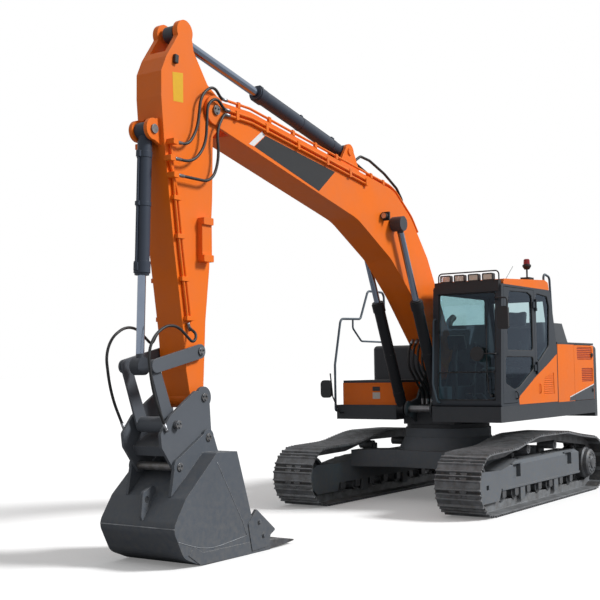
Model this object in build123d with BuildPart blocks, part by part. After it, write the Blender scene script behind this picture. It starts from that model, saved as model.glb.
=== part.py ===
# Crawler excavator of the 22 tonne class, millimetres.
# +X points forward along the boom, +Y to the left (cab side), +Z up.
# The origin is on the ground, on the axis that the upper structure swings about.
from build123d import *
from math import atan2, cos, degrees, hypot, pi, radians, sin, sqrt
import os

os.makedirs("parts", exist_ok=True)

# ---------------------------------------------------------------- driving sizes
# Undercarriage
GAUGE = 2390.0  # between the track centres
SHOE_WIDTH = 600.0
TUMBLER_DISTANCE = 3650.0  # idler axle to sprocket axle
SHOES_PER_TRACK = 49
PITCH_RADIUS = 310.0  # chain pin line round idler and sprocket
PLATE_INNER = 46.0  # chain pin line to the inside of the shoe plate
PLATE_THICKNESS = 12.0
GROUSER_HEIGHT = 26.0
RAIL_DEPTH = 50.0  # chain pin line to the running face of the link rails
RAIL_INNER = 35.0  # track centre to the inside of a link rail
RAIL_OUTER = 105.0

# Upper structure
UPPER_WIDTH = 2710.0
CAB_WIDTH = 970.0
DECK_BOTTOM = 1110.0
DECK_TOP = 1310.0
DECK_FRONT = 1220.0  # front of the cab floor
DECK_REAR = -2250.0  # seam between the body and the counterweight
TAIL_RADIUS = 2750.0
BODY_TOP = 2160.0

# Cab
CAB_WALL = 55.0

# Working equipment, as (x, z) in the plane of the boom
BOOM_FOOT = (180.0, 1800.0)
BOOM_TIP = (5440.0, 4450.0)
BOOM_HALF_WIDTH = 195.0
BOOM_ROOT_HALF_WIDTH = 172.0
LIFT_FOOT = (800.0, 1260.0)
LIFT_EYE = (1850.0, 3660.0)
CROWD_FOOT = (2750.0, 4470.0)
CROWD_EYE = (5870.0, 5160.0)
CURL_HEAD = (6280.0, 4120.0)
LINK_EYE = (6365.0, 1860.0)
GUIDE_PIN = (5730.0, 2000.0)
BUCKET_PIN = (5730.0, 1552.0)
HITCH_PIN = (6150.0, 1306.0)
ARM_HALF_WIDTH = 160.0

# Fits
PIN_GAP = 0.1  # running clearance of a pin in its bore, on the radius
SIDE_GAP = 6.0  # between the side faces of pieces that turn past each other
SEAT_GAP = 0.3  # between pieces that only rest on each other
GLASS_GAP = 0.5  # round a pane in its opening

AXLE_HEIGHT = PITCH_RADIUS + PLATE_INNER + PLATE_THICKNESS + GROUSER_HEIGHT
IDLER_X = TUMBLER_DISTANCE / 2
SPROCKET_X = -TUMBLER_DISTANCE / 2
TRACK_Y = GAUGE / 2
HALF_UPPER = UPPER_WIDTH / 2
CAB_OUTER = HALF_UPPER
CAB_INNER = CAB_OUTER - CAB_WIDTH  # side of the cab beside the boom


def side_plane(y):
    """The upright plane at this y: sketches are (x, z) and extrude towards -Y."""
    return Plane.XZ.offset(-y)


def toward(start, end, distance):
    """The point this far from start on the way to end."""
    length = hypot(end[0] - start[0], end[1] - start[1])
    return (
        start[0] + (end[0] - start[0]) * distance / length,
        start[1] + (end[1] - start[1]) * distance / length,
    )


def tube(points, radius, bends):
    """Sweep a round bar along straight runs joined by arcs of these radii."""
    with BuildLine() as route:
        FilletPolyline(*points, radius=bends)
    with BuildSketch(Plane(route.line ^ 0)) as section:
        Circle(radius)
    sweep(sections=section.sketch, path=route.line)


def rounded(corners):
    """A closed outline of x, z and radius for each corner."""
    FilletPolyline(*[(x, z) for x, z, _ in corners], radius=[bend for _, _, bend in corners], close=True)


def height_on(edge, x):
    """Height of a line of points at this x."""
    for start, end in zip(edge, edge[1:]):
        if min(start[0], end[0]) <= x <= max(start[0], end[0]):
            return start[1] + (end[1] - start[1]) * (x - start[0]) / (end[0] - start[0])


def finish(name, piece):
    """Label a finished piece and write its file."""
    piece.part.label = name
    export_step(piece.part, "parts/" + name + ".step")


# ---------------------------------------------------------------- tracks
# The pin line of the chain: round the idler, over the carrier rollers with a
# little sag between them, round the sprocket and back along the ground.
CARRIER_X = (250.0, -700.0)
CARRIER_LINE = 842.0  # height of the pin line over the carrier rollers
TOP_LINE = [  # x, z of the pin line from idler to sprocket
    (1030.0, 722.0),
    (650.0, 790.0),
    (CARRIER_X[0] + 60, CARRIER_LINE),
    (CARRIER_X[1], CARRIER_LINE - 6),
    (-1210.0, 768.0),
]
ARC_STEP = 20.0  # degrees between the points on an end of the track


def track_line():
    """The closed pin line as points, starting under the sprocket."""
    line = [(SPROCKET_X, AXLE_HEIGHT - PITCH_RADIUS)]
    for turn in range(-90, 91, int(ARC_STEP)):
        angle = radians(turn)
        line.append((IDLER_X + PITCH_RADIUS * cos(angle), AXLE_HEIGHT + PITCH_RADIUS * sin(angle)))
    line += TOP_LINE
    for turn in range(90, 270, int(ARC_STEP)):
        angle = radians(turn)
        line.append((SPROCKET_X + PITCH_RADIUS * cos(angle), AXLE_HEIGHT + PITCH_RADIUS * sin(angle)))
    return line


def shifted(line, distance):
    """The closed line moved outwards by this distance, corner by corner."""
    moved = []
    for i, (x, z) in enumerate(line):
        before = line[i - 1]
        after = line[(i + 1) % len(line)]
        a = atan2(z - before[1], x - before[0])
        b = atan2(after[1] - z, after[0] - x)
        half = (b - a + pi) % (2 * pi) - pi
        middle = a + half / 2 - pi / 2
        reach = distance / cos(half / 2)
        moved.append((x + reach * cos(middle), z + reach * sin(middle)))
    return moved


def along(line, count):
    """Points at equal steps along the closed line."""
    closed = line + [line[0]]
    lengths = [hypot(b[0] - a[0], b[1] - a[1]) for a, b in zip(closed, closed[1:])]
    step = sum(lengths) / count
    points = []
    walked = 0.0
    for (start, end), length in zip(zip(closed, closed[1:]), lengths):
        while len(points) * step < walked + length - 1e-6:
            points.append(toward(start, end, len(points) * step - walked))
        walked += length
    return points[:count]


GROUSERS = [  # place along the shoe as a share of the pitch, half base, half tip
    (0.16, 17.0, 6.0),
    (0.48, 15.0, 0.0),
    (0.80, 17.0, 6.0),
]


def shoe_outline(pins):
    """The outside of every shoe, three grousers each, as one closed outline."""
    outline = []
    for i, start in enumerate(pins):
        end = pins[(i + 1) % len(pins)]
        pitch = hypot(end[0] - start[0], end[1] - start[1])
        ux, uz = (end[0] - start[0]) / pitch, (end[1] - start[1]) / pitch
        plate = PLATE_INNER + PLATE_THICKNESS
        for share, base, tip in GROUSERS:
            crown = ((-tip, GROUSER_HEIGHT), (tip, GROUSER_HEIGHT)) if tip else ((0, GROUSER_HEIGHT),)
            for shift, out in ((-base, 0), *crown, (base, 0)):
                s = share * pitch + shift
                n = plate + out
                outline.append((start[0] + ux * s + uz * n, start[1] + uz * s - ux * n))
    return outline


pin_line = track_line()
shoe_outside = shoe_outline(along(pin_line, SHOES_PER_TRACK))
shoe_inside = shifted(pin_line, PLATE_INNER)
rail_inside = shifted(pin_line, -RAIL_DEPTH)

for side, y_side in (("left", 1), ("right", -1)):
    with BuildPart() as track:
        with BuildSketch(side_plane(y_side * TRACK_Y)):
            with BuildLine():
                Polyline(*shoe_outside, close=True)
            make_face()
            with BuildLine():
                Polyline(*shoe_inside, close=True)
            make_face(mode=Mode.SUBTRACT)
        extrude(amount=SHOE_WIDTH / 2, both=True)
        for rail in (-1, 1):
            with BuildSketch(side_plane(y_side * TRACK_Y + rail * (RAIL_INNER + RAIL_OUTER) / 2)):
                with BuildLine():
                    Polyline(*shoe_inside, close=True)
                make_face()
                with BuildLine():
                    Polyline(*rail_inside, close=True)
                make_face(mode=Mode.SUBTRACT)
            extrude(amount=(RAIL_OUTER - RAIL_INNER) / 2, both=True)
    finish("track_" + side, track)

# ---------------------------------------------------------------- idlers, rollers and drives
# Everything that runs on the link rails takes its radius from them. The rails are
# flat between the points of an arc, so a wheel is smaller than the arc by that much.
RAIL_RADIUS = PITCH_RADIUS * cos(radians(ARC_STEP / 2)) - RAIL_DEPTH
IDLER_RADIUS = RAIL_RADIUS - SEAT_GAP
FLANGE_HALF = RAIL_INNER - 5
ROLLER_RADIUS = 78.0
ROLLER_Z = AXLE_HEIGHT - PITCH_RADIUS + RAIL_DEPTH + SEAT_GAP + ROLLER_RADIUS
ROLLER_SPACING = 390.0
COLLAR_DROP = 35.0  # roller axle to the bottom of its end collars
ROLLERS = 7
FRAME_HALF = 155.0  # track centre to the outside of the side frame
FRAME_PLATE = 30.0
FRAME_BOTTOM = 262.0
CARRIER_RADIUS = 60.0
SHAFT_RADIUS = 40.0

FRAME_TOP = [  # x, z along the top from the idler fork to the drive
    (1280.0, 518.0),
    (700.0, 600.0),
    (-1430.0, 615.0),
]


roller_profile = [  # distance from the track centre, radius: one half of a roller
    (RAIL_OUTER + 2, ROLLER_RADIUS),
    (RAIL_OUTER + 2, ROLLER_RADIUS + 14),
    (RAIL_OUTER + 14, ROLLER_RADIUS + 14),
    (RAIL_OUTER + 14, ROLLER_RADIUS - 30),
    (FRAME_HALF, ROLLER_RADIUS - 30),
]


def spin(profile, x, z, y, mirrored=True):
    """Revolve a profile about the axle along Y through (x, z)."""
    points = [(y + along_y, z + radius) for along_y, radius in profile]
    if mirrored:
        points = [(y - along_y, z + radius) for along_y, radius in reversed(profile)] + points
    with BuildSketch(Plane.YZ.offset(x)) as half:
        with BuildLine():
            Polyline(*points, (points[-1][0], z), (points[0][0], z), close=True)
        make_face()
    revolve(half.sketch, axis=Axis((x, 0, z), (0, 1, 0)))


with BuildPart() as idlers:
    for y in (TRACK_Y, -TRACK_Y):
        spin(
            [
                (FLANGE_HALF, IDLER_RADIUS + 20),
                (FLANGE_HALF, IDLER_RADIUS),
                (RAIL_OUTER, IDLER_RADIUS),
                (RAIL_OUTER, IDLER_RADIUS - 35),
                (FLANGE_HALF + 15, IDLER_RADIUS - 45),
                (FLANGE_HALF + 15, 95),
                (RAIL_OUTER, 85),
                (RAIL_OUTER, SHAFT_RADIUS),
                (FRAME_HALF - FRAME_PLATE - SEAT_GAP, SHAFT_RADIUS),
            ],
            IDLER_X,
            AXLE_HEIGHT,
            y,
        )
finish("idlers", idlers)

with BuildPart() as track_rollers:
    collar_height = FRAME_BOTTOM - SEAT_GAP - ROLLER_Z + COLLAR_DROP
    for y in (TRACK_Y, -TRACK_Y):
        for i in range(ROLLERS):
            x = (i - (ROLLERS - 1) / 2) * ROLLER_SPACING
            spin(roller_profile, x, ROLLER_Z, y)
            for end in (-1, 1):
                collar_y = y + end * (FRAME_HALF - FRAME_PLATE / 2)
                with Locations((x, collar_y, ROLLER_Z - COLLAR_DROP + collar_height / 2)):
                    Box(110, FRAME_PLATE, collar_height)
finish("track_rollers", track_rollers)

with BuildPart() as carrier_rollers:
    for y_side in (1, -1):
        y = y_side * TRACK_Y
        for x in CARRIER_X:
            z = CARRIER_LINE - RAIL_DEPTH - CARRIER_RADIUS - 12
            spin(
                [
                    (RAIL_INNER - 3, CARRIER_RADIUS),
                    (RAIL_OUTER + 4, CARRIER_RADIUS),
                    (RAIL_OUTER + 4, CARRIER_RADIUS - 30),
                    (RAIL_OUTER + 12, CARRIER_RADIUS - 30),
                ],
                x,
                z,
                y,
            )
            base = height_on(FRAME_TOP, x) + SEAT_GAP
            with Locations((x, y - y_side * (RAIL_OUTER + 27), (z + 25 + base) / 2)):
                Box(80, 30, z + 25 - base)
finish("carrier_rollers", carrier_rollers)

# Sprocket and final drive: a toothed ring in the gap between the link rails, and the
# stepped gear housing that stands out of the side frame.
TEETH = 21
TOOTH_ROOT = 238.0
TOOTH_TIP = 318.0
SPROCKET_HALF = 24.0
DRIVE_RADIUS = 228.0
DRIVE_SEAT = 170.0

SPROCKET_TOOTH = (  # share of the tooth pitch, radius
    (-0.30, TOOTH_ROOT),
    (-0.12, TOOTH_TIP),
    (0.12, TOOTH_TIP),
    (0.30, TOOTH_ROOT),
)

with BuildPart() as final_drives:
    for y_side in (1, -1):
        y = y_side * TRACK_Y
        points = []
        for i in range(TEETH):
            for share, radius in SPROCKET_TOOTH:
                angle = 2 * pi * (i + share) / TEETH
                points.append((SPROCKET_X + radius * cos(angle), AXLE_HEIGHT + radius * sin(angle)))
        with BuildSketch(side_plane(y)):
            with BuildLine():
                Polyline(*points, close=True)
            make_face()
        extrude(amount=SPROCKET_HALF, both=True)
        for profile in (
            [
                (-SPROCKET_HALF, DRIVE_RADIUS),
                (150, DRIVE_RADIUS),
                (165, DRIVE_RADIUS - 25),
                (215, DRIVE_RADIUS - 35),
                (235, DRIVE_RADIUS - 60),
                (240, 90),
                (255, 80),
            ],
            [
                (-SPROCKET_HALF, DRIVE_SEAT),
                (-FRAME_HALF, DRIVE_SEAT),
                (-FRAME_HALF, 150),
                (-250, 150),
            ],
        ):
            steps = [(y_side * along_y, radius) for along_y, radius in profile]
            spin(steps, SPROCKET_X, AXLE_HEIGHT, y, mirrored=False)
finish("final_drives", final_drives)

# ---------------------------------------------------------------- side frames
# A box beam over the rollers with two lips down beside them, a fork round the idler
# and a ring plate inboard that the final drive is bolted to.
FRAME_REAR = SPROCKET_X + TOOTH_TIP + 15
FORK_FRONT = 2120.0
FORK_LOW = 150.0
FORK_HIGH = 540.0
FRAME_INNER = TRACK_Y - FRAME_HALF
FRAME_CHAMFER = 45.0
RAIL_BAR = 282.0  # height of the bar along the outside
STEP_X = (760.0, -1080.0)  # recessed steps in the outside
SLOT_X = (420.0, -450.0)
GUARD_X = (585.0, -585.0)  # track guards, each between two rollers
GUARD_LOW = 100.0

for side, y_side in (("left", 1), ("right", -1)):
    y = y_side * TRACK_Y
    with BuildPart() as side_frame:
        with BuildSketch(side_plane(y)):
            with BuildLine():
                Polyline((1280, 320), *FRAME_TOP, (FRAME_REAR, 560), (FRAME_REAR, 320), close=True)
            make_face()
        extrude(amount=FRAME_HALF, both=True)
        for lip in (-1, 1):
            outside = y + lip * FRAME_HALF
            with BuildSketch(side_plane(max(outside, outside - lip * FRAME_PLATE))):
                with BuildLine():
                    Polyline(
                        (1280, FRAME_BOTTOM),
                        (1280, 330),
                        (FRAME_REAR, 330),
                        (FRAME_REAR, FRAME_BOTTOM),
                        close=True,
                    )
                make_face()
            extrude(amount=FRAME_PLATE)
            with BuildSketch(side_plane(max(outside, outside - lip * FRAME_PLATE))):
                with BuildLine():
                    FilletPolyline(
                        (1250, 360),
                        (1262, FRAME_BOTTOM),
                        (1320, FORK_LOW),
                        (FORK_FRONT - 300, FORK_LOW),
                        (FORK_FRONT - 150, 260),
                        (FORK_FRONT - 150, 470),
                        (FORK_FRONT - 300, FORK_HIGH),
                        (1250, FORK_HIGH - 20),
                        (1180, 480),
                        (1180, 360),
                        radius=15,
                        close=True,
                    )
                make_face()
            extrude(amount=FRAME_PLATE)
        inner = y - y_side * FRAME_HALF
        with BuildSketch(side_plane(max(inner, inner + y_side * FRAME_PLATE))):
            with BuildLine():
                Polyline(
                    (FRAME_REAR, FRAME_BOTTOM),
                    (FRAME_REAR, 560),
                    (SPROCKET_X, 640),
                    (SPROCKET_X, 150),
                    close=True,
                )
            make_face()
            with Locations((SPROCKET_X, AXLE_HEIGHT)):
                Circle(245)
                Circle(DRIVE_SEAT + SEAT_GAP, mode=Mode.SUBTRACT)
        extrude(amount=FRAME_PLATE)
        outer = y + y_side * FRAME_HALF
        straight = side_frame.edges().filter_by(GeomType.LINE)
        outer_edges = straight.filter_by_position(Axis.Y, outer - 1, outer + 1)
        chamfer([e for e in outer_edges if e.length > 1500 and e.center().Z > 580], length=FRAME_CHAMFER)
        with BuildSketch(side_plane(max(outer, outer + y_side * 14))):
            with Locations(((1250 + FRAME_REAR) / 2, RAIL_BAR)):
                Rectangle(1250 - FRAME_REAR, 26)
        extrude(amount=14)
        for x in STEP_X:
            with Locations((x, outer - y_side * 25, height_on(FRAME_TOP, x) - 110)):
                Box(230, 52, 170, mode=Mode.SUBTRACT)
            with Locations((x, outer - y_side * 14, height_on(FRAME_TOP, x) - 20)):
                Box(300, 28, 14)
        for x in SLOT_X:
            with Locations((x, y, height_on(FRAME_TOP, x) - 15)):
                Box(180, 60, 60, mode=Mode.SUBTRACT)
        for x in GUARD_X:
            for lip in (-1, 1):
                guard_y = y + lip * (FRAME_HALF - FRAME_PLATE / 2)
                with Locations((x, guard_y, (FRAME_BOTTOM + GUARD_LOW) / 2 + 5)):
                    Box(150, FRAME_PLATE, FRAME_BOTTOM - GUARD_LOW + 10)
        with BuildSketch(side_plane(max(outer, outer - y_side * 60))):
            with Locations((1660, 340)):
                RectangleRounded(70, 60, 8)
        extrude(amount=60, mode=Mode.SUBTRACT)
    finish("side_frame_" + side, side_frame)

# ---------------------------------------------------------------- car body and swing bearing
CAR_LOW = 460.0
CAR_HIGH = 690.0
RING_RADIUS = 610.0
RING_BASE = 860.0
RING_SPLIT = 985.0

with BuildPart() as car_body:
    leg = [(950, FRAME_INNER), (560, FRAME_INNER), (330, 600)]
    right_half = leg + [(-x, y) for x, y in reversed(leg)] + [(-760, 420)]
    outline = right_half + [(-x, -y) for x, y in right_half]
    with BuildSketch(Plane.XY.offset(CAR_LOW)):
        with BuildLine():
            Polyline(*[(x, y) for x, y in outline], close=True)
        make_face()
    extrude(amount=CAR_HIGH - CAR_LOW)
    with BuildSketch(Plane.XY.offset(CAR_HIGH)):
        Circle(RING_RADIUS + 90)
    with BuildSketch(Plane.XY.offset(RING_BASE)):
        Circle(RING_RADIUS)
    loft()
finish("car_body", car_body)

with BuildPart() as slewing_ring:
    with BuildSketch(Plane.XY.offset(RING_BASE)):
        Circle(RING_RADIUS - 10)
        Circle(RING_RADIUS - 130, mode=Mode.SUBTRACT)
    extrude(amount=RING_SPLIT - RING_BASE)
finish("slewing_ring", slewing_ring)

# ---------------------------------------------------------------- revolving frame
MAIN_BOTTOM = 1045.0
BRACKET_OUTER = BOOM_ROOT_HALF_WIDTH + SIDE_GAP + 28
BRACKET_INNER = BOOM_ROOT_HALF_WIDTH + SIDE_GAP
FOOT_PIN_RADIUS = 50.0
LIFT_PIN_RADIUS = 45.0
LIFT_Y = 290.0  # middle of a lift cylinder
NOTCH_REAR = 600.0
STORAGE_FRONT = 810.0
PLATE = 25.0

deck_outline = [  # x, y round the deck, from the front left corner of the cab floor
    (DECK_FRONT, HALF_UPPER),
    (DECK_FRONT, CAB_INNER),
    (NOTCH_REAR, CAB_INNER),
    (NOTCH_REAR, -CAB_INNER),
    (STORAGE_FRONT, -CAB_INNER),
    (STORAGE_FRONT, -HALF_UPPER),
    (DECK_REAR, -HALF_UPPER),
    (DECK_REAR, HALF_UPPER),
]

with BuildPart() as revolving_frame:
    with BuildSketch(Plane.XY.offset(DECK_BOTTOM)):
        with BuildLine():
            Polyline(*deck_outline, close=True)
        make_face()
    extrude(amount=DECK_TOP - DECK_BOTTOM)
    with BuildSketch(Plane.XY.offset(DECK_BOTTOM)):
        with BuildLine():
            Polyline(*deck_outline, close=True)
        make_face()
        offset(amount=-40, kind=Kind.INTERSECTION)
    extrude(amount=DECK_TOP - DECK_BOTTOM - PLATE, mode=Mode.SUBTRACT)
    with BuildSketch(Plane.XY.offset(MAIN_BOTTOM)):
        with Locations(((NOTCH_REAR + DECK_REAR) / 2, 0)):
            Rectangle(NOTCH_REAR - DECK_REAR, 2 * CAB_INNER)
    extrude(amount=DECK_TOP - MAIN_BOTTOM)
    with BuildSketch(Plane.XY.offset(RING_SPLIT + SEAT_GAP)):
        Circle(RING_RADIUS - 30)
    extrude(amount=MAIN_BOTTOM - RING_SPLIT)
    for bracket in (-1, 1):
        outside = bracket * BRACKET_OUTER
        with BuildSketch(side_plane(max(outside, bracket * BRACKET_INNER))):
            with BuildLine():
                Polyline(
                    (-620, DECK_TOP - 10),
                    (-60, BOOM_FOOT[1] + 90),
                    (BOOM_FOOT[0], BOOM_FOOT[1] + 100),
                    (BOOM_FOOT[0] + 110, BOOM_FOOT[1] + 20),
                    (560, 1400),
                    (LIFT_FOOT[0], LIFT_FOOT[1] + 90),
                    (LIFT_FOOT[0], LIFT_FOOT[1] - 90),
                    (NOTCH_REAR - 20, MAIN_BOTTOM + 20),
                    (-620, MAIN_BOTTOM + 20),
                    close=True,
                )
            make_face()
            with Locations(BOOM_FOOT):
                Circle(125)
                Circle(FOOT_PIN_RADIUS + PIN_GAP, mode=Mode.SUBTRACT)
            with Locations(LIFT_FOOT):
                Circle(110)
                Circle(LIFT_PIN_RADIUS + PIN_GAP, mode=Mode.SUBTRACT)
        extrude(amount=BRACKET_OUTER - BRACKET_INNER)
finish("revolving_frame", revolving_frame)

# ---------------------------------------------------------------- counterweight
WEIGHT_BOTTOM = 1055.0
WEIGHT_TOP = 2130.0
with BuildPart() as counterweight:
    corner_x = -sqrt(TAIL_RADIUS**2 - HALF_UPPER**2)
    front = DECK_REAR - SEAT_GAP
    with BuildSketch(Plane.XY.offset(WEIGHT_BOTTOM)):
        with BuildLine():
            Polyline(
                (corner_x, -HALF_UPPER), (front, -HALF_UPPER), (front, HALF_UPPER), (corner_x, HALF_UPPER)
            )
            ThreePointArc((corner_x, HALF_UPPER), (-TAIL_RADIUS, 0), (corner_x, -HALF_UPPER))
        make_face()
    extrude(amount=WEIGHT_TOP - WEIGHT_BOTTOM)
    fillet(counterweight.edges().filter_by(Axis.Z).group_by(Axis.X)[0], radius=0.6 * (front - corner_x))
    fillet(counterweight.faces().sort_by(Axis.Z)[-1].edges().group_by(Axis.X)[:2][0], radius=60)
finish("counterweight", counterweight)

# ---------------------------------------------------------------- body behind the cab
BODY_FRONT = -765.0
POST_X = -1415.0
SKIN = 30.0
DOOR_GAP = 6.0
HOOD_FRONT = -1180.0
HOOD_REAR = -2110.0
HOOD_MID = 150.0  # the hood sits nearer the cab's side
HOOD_HALF = 880.0
HOOD_TOP = 2470.0
HOOD_SLOPE = 130.0
GRILLES = [  # x, z of the middle, length, height
    (-1860.0, 2005.0, 640.0, 190.0),
    (-1960.0, 1685.0, 480.0, 200.0),
]
SLAT_PITCH = 27.0
POCKET = 12.0

with BuildPart() as body_frame:
    floor = DECK_TOP + SEAT_GAP
    with BuildSketch(Plane.XY.offset(floor)):
        with Locations((BODY_FRONT - SKIN / 2, 0)):
            Rectangle(SKIN, UPPER_WIDTH - 2 * SKIN)
        for post_side in (-1, 1):
            with Locations((POST_X, post_side * (HALF_UPPER - SKIN - 30 - SEAT_GAP))):
                Rectangle(90, 60)
    extrude(amount=BODY_TOP - SKIN - floor)
    with BuildSketch(Plane.XY.offset(BODY_TOP - SKIN)):
        with Locations(((BODY_FRONT + DECK_REAR) / 2, 0)):
            Rectangle(BODY_FRONT - DECK_REAR, UPPER_WIDTH)
        with Locations(((HOOD_FRONT + HOOD_REAR) / 2, HOOD_MID)):
            Rectangle(HOOD_FRONT - HOOD_REAR - 160, 2 * HOOD_HALF - 160, mode=Mode.SUBTRACT)
    extrude(amount=SKIN)
finish("body_frame", body_frame)

with BuildPart() as side_panels:
    with BuildSketch(Plane.XY.offset(DECK_TOP + SEAT_GAP)):
        for y_side in (1, -1):
            with Locations(((BODY_FRONT + POST_X) / 2, y_side * (HALF_UPPER - SKIN / 2))):
                Rectangle(BODY_FRONT - POST_X, SKIN)
    extrude(amount=BODY_TOP - SKIN - DECK_TOP - 2 * SEAT_GAP)
finish("side_panels", side_panels)

for side, y_side in (("left", 1), ("right", -1)):
    with BuildPart() as service_door:
        with BuildSketch(Plane.XY.offset(DECK_TOP + DOOR_GAP)):
            with Locations(((POST_X + DECK_REAR) / 2, y_side * (HALF_UPPER - SKIN / 2))):
                Rectangle(POST_X - DECK_REAR - 2 * DOOR_GAP, SKIN)
        extrude(amount=BODY_TOP - SKIN - DECK_TOP - 2 * DOOR_GAP)
        outside = y_side * HALF_UPPER
        face = side_plane(max(outside, outside - y_side * POCKET))
        for x, z, length, height in GRILLES:
            with BuildSketch(face):
                with Locations((x, z)):
                    RectangleRounded(length, height, 25)
            extrude(amount=POCKET, mode=Mode.SUBTRACT)
            with BuildSketch(side_plane(max(outside - y_side * 3, outside - y_side * POCKET))):
                with Locations((x, z)):
                    with GridLocations(0, SLAT_PITCH, 1, int(height / SLAT_PITCH)):
                        Rectangle(length - 4, 9)
            extrude(amount=POCKET - 3)
    finish("service_door_" + side, service_door)

with BuildPart() as engine_hood:
    for base, top, shrink, mode in (
        (BODY_TOP + SEAT_GAP, HOOD_TOP, 0, Mode.ADD),
        (BODY_TOP + SEAT_GAP - 1, HOOD_TOP - 25, 25, Mode.SUBTRACT),
    ):
        with BuildSketch(Plane.XY.offset(base)):
            with Locations(((HOOD_FRONT + HOOD_REAR) / 2, HOOD_MID)):
                RectangleRounded(HOOD_FRONT - HOOD_REAR - 2 * shrink, 2 * (HOOD_HALF - shrink), 60)
        with BuildSketch(Plane.XY.offset(top)):
            with Locations(((HOOD_FRONT + HOOD_REAR) / 2, HOOD_MID)):
                RectangleRounded(
                    HOOD_FRONT - HOOD_REAR - HOOD_SLOPE - 2 * shrink,
                    2 * (HOOD_HALF - shrink) - HOOD_SLOPE,
                    60,
                )
        loft(mode=mode)
    with BuildSketch(Plane.XY.offset(HOOD_TOP)):
        with Locations(((HOOD_FRONT + HOOD_REAR) / 2, HOOD_MID)):
            with GridLocations(0, 90, 1, 12):
                SlotOverall(520, 30)
    extrude(amount=-25, mode=Mode.SUBTRACT)
finish("engine_hood", engine_hood)

EXHAUST = (-1900.0, -900.0)
with BuildPart() as exhaust:
    with Locations((*EXHAUST, BODY_TOP + SEAT_GAP + 10)):
        Cylinder(95, 20)
    tube(
        [
            (*EXHAUST, BODY_TOP + SEAT_GAP),
            (*EXHAUST, BODY_TOP + 400),
            (EXHAUST[0] - 160, EXHAUST[1], BODY_TOP + 480),
        ],
        55,
        [110],
    )
finish("exhaust", exhaust)

with BuildPart() as engine_block:
    with Locations((-1620, 0, DECK_TOP + SEAT_GAP + 350)):
        Box(800, 1000, 700)
finish("engine_block", engine_block)

with BuildPart() as valve_cover:
    with BuildSketch(Plane.XY.offset(DECK_TOP + SEAT_GAP)):
        with Locations((BODY_FRONT + 60, 0)):
            Rectangle(120, 640)
    extrude(amount=520)
finish("valve_cover", valve_cover)

# ---------------------------------------------------------------- storage box and tank, right side
STORAGE_REAR = -100.0
STORAGE_X = 735.0
STORAGE_HIGH = 310.0
STORAGE_LENGTH = STORAGE_X - STORAGE_REAR
STORAGE_MID = ((STORAGE_X + STORAGE_REAR) / 2, -850.0)
STORAGE_WIDTH = 915.0
STORAGE_WALL = 25.0
LID_THICK = 35.0
with BuildPart() as storage_box:
    with BuildSketch(Plane.XY.offset(DECK_TOP + SEAT_GAP)):
        with Locations(STORAGE_MID):
            RectangleRounded(STORAGE_LENGTH, STORAGE_WIDTH, 35)
    extrude(amount=STORAGE_HIGH)
    with BuildSketch(Plane.XY.offset(DECK_TOP + SEAT_GAP + STORAGE_WALL)):
        with Locations(STORAGE_MID):
            RectangleRounded(STORAGE_LENGTH - 2 * STORAGE_WALL, STORAGE_WIDTH - 2 * STORAGE_WALL, 15)
    extrude(amount=STORAGE_HIGH, mode=Mode.SUBTRACT)
finish("storage_box", storage_box)

with BuildPart() as storage_lid:
    with BuildSketch(Plane.XY.offset(DECK_TOP + 2 * SEAT_GAP + STORAGE_HIGH)):
        with Locations(STORAGE_MID):
            RectangleRounded(STORAGE_LENGTH - 10, STORAGE_WIDTH - 10, 35)
    extrude(amount=LID_THICK)
finish("storage_lid", storage_lid)

TANK_MID = (-442.5, -870.0)
TANK_TOP = 2160.0
TANK_WIDTH = 900.0
with BuildPart() as fuel_tank:
    with BuildSketch(Plane.XY.offset(DECK_TOP + SEAT_GAP)):
        with Locations(TANK_MID):
            RectangleRounded(585, TANK_WIDTH, 70)
    extrude(amount=TANK_TOP - DECK_TOP - SEAT_GAP)
    fillet(fuel_tank.faces().sort_by(Axis.Z)[-1].edges(), radius=60)
    with BuildSketch(Plane.XY.offset(TANK_TOP - 1)):
        with Locations((-330, -700)):
            Circle(55)
    extrude(amount=46)
finish("fuel_tank", fuel_tank)

# ---------------------------------------------------------------- cab
CAB_FLOOR = DECK_TOP + SEAT_GAP
CAB_TOP = 2880.0
CAB_BACK = BODY_FRONT + 12
CAB_PROFILE = [  # x, z round the side of the cab
    (DECK_FRONT - 5, CAB_FLOOR),
    (1113.0, CAB_TOP),
    (-540.0, CAB_TOP),
    (-600.0, 2660.0),
    (CAB_BACK, 2060.0),
    (CAB_BACK, CAB_FLOOR),
]
DOOR_OUTLINE = [
    (60, 2845),
    (60, 1715),
    (520, 1505),
    (665, 1435),
    (690, 1350),
    (1125, 1350),
    (1115, 1950),
    (1045, 2845),
]
UPPER_WINDOW = [(115, 2770), (115, 2025), (965, 2025), (960, 2350), (885, 2800), (270, 2815)]
LOWER_WINDOW = [(115, 1950), (115, 1775), (600, 1545), (760, 1515), (1045, 1600), (1030, 1950)]
QUARTER_WINDOW = [(-15, 2815), (-15, 1840), (-450, 2090), (-500, 2640), (-430, 2790)]
COVER_OUTLINE = [  # x, z round the painted cover on the lower rear of the cab's side
    (622, 1322),
    (640, 1395),
    (600, 1438),
    (497, 1480),
    (50, 1680),
    (-374, 1840),
    (-735, 1990),
    (-735, 1322),
]
COVER_THICK = 10.0
COVER_LOUVRE = [(-254, 1659), (-600, 1735), (-610, 1425), (-216, 1432)]
RIGHT_WINDOW = [(1020, 2790), (1055, 1560), (100, 1560), (-430, 1900), (-480, 2790)]
DOOR_THICK = 45.0
GLASS = 6.0
GLASS_SET = 20.0  # how far the windscreen lies behind the frame's face
WINDSCREEN_LOW = 1390.0
WINDSCREEN_SPLIT = 1750.0
WINDSCREEN_HIGH = 2780.0
PILLAR = 75.0
cab_mid = (CAB_INNER + CAB_OUTER) / 2
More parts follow.
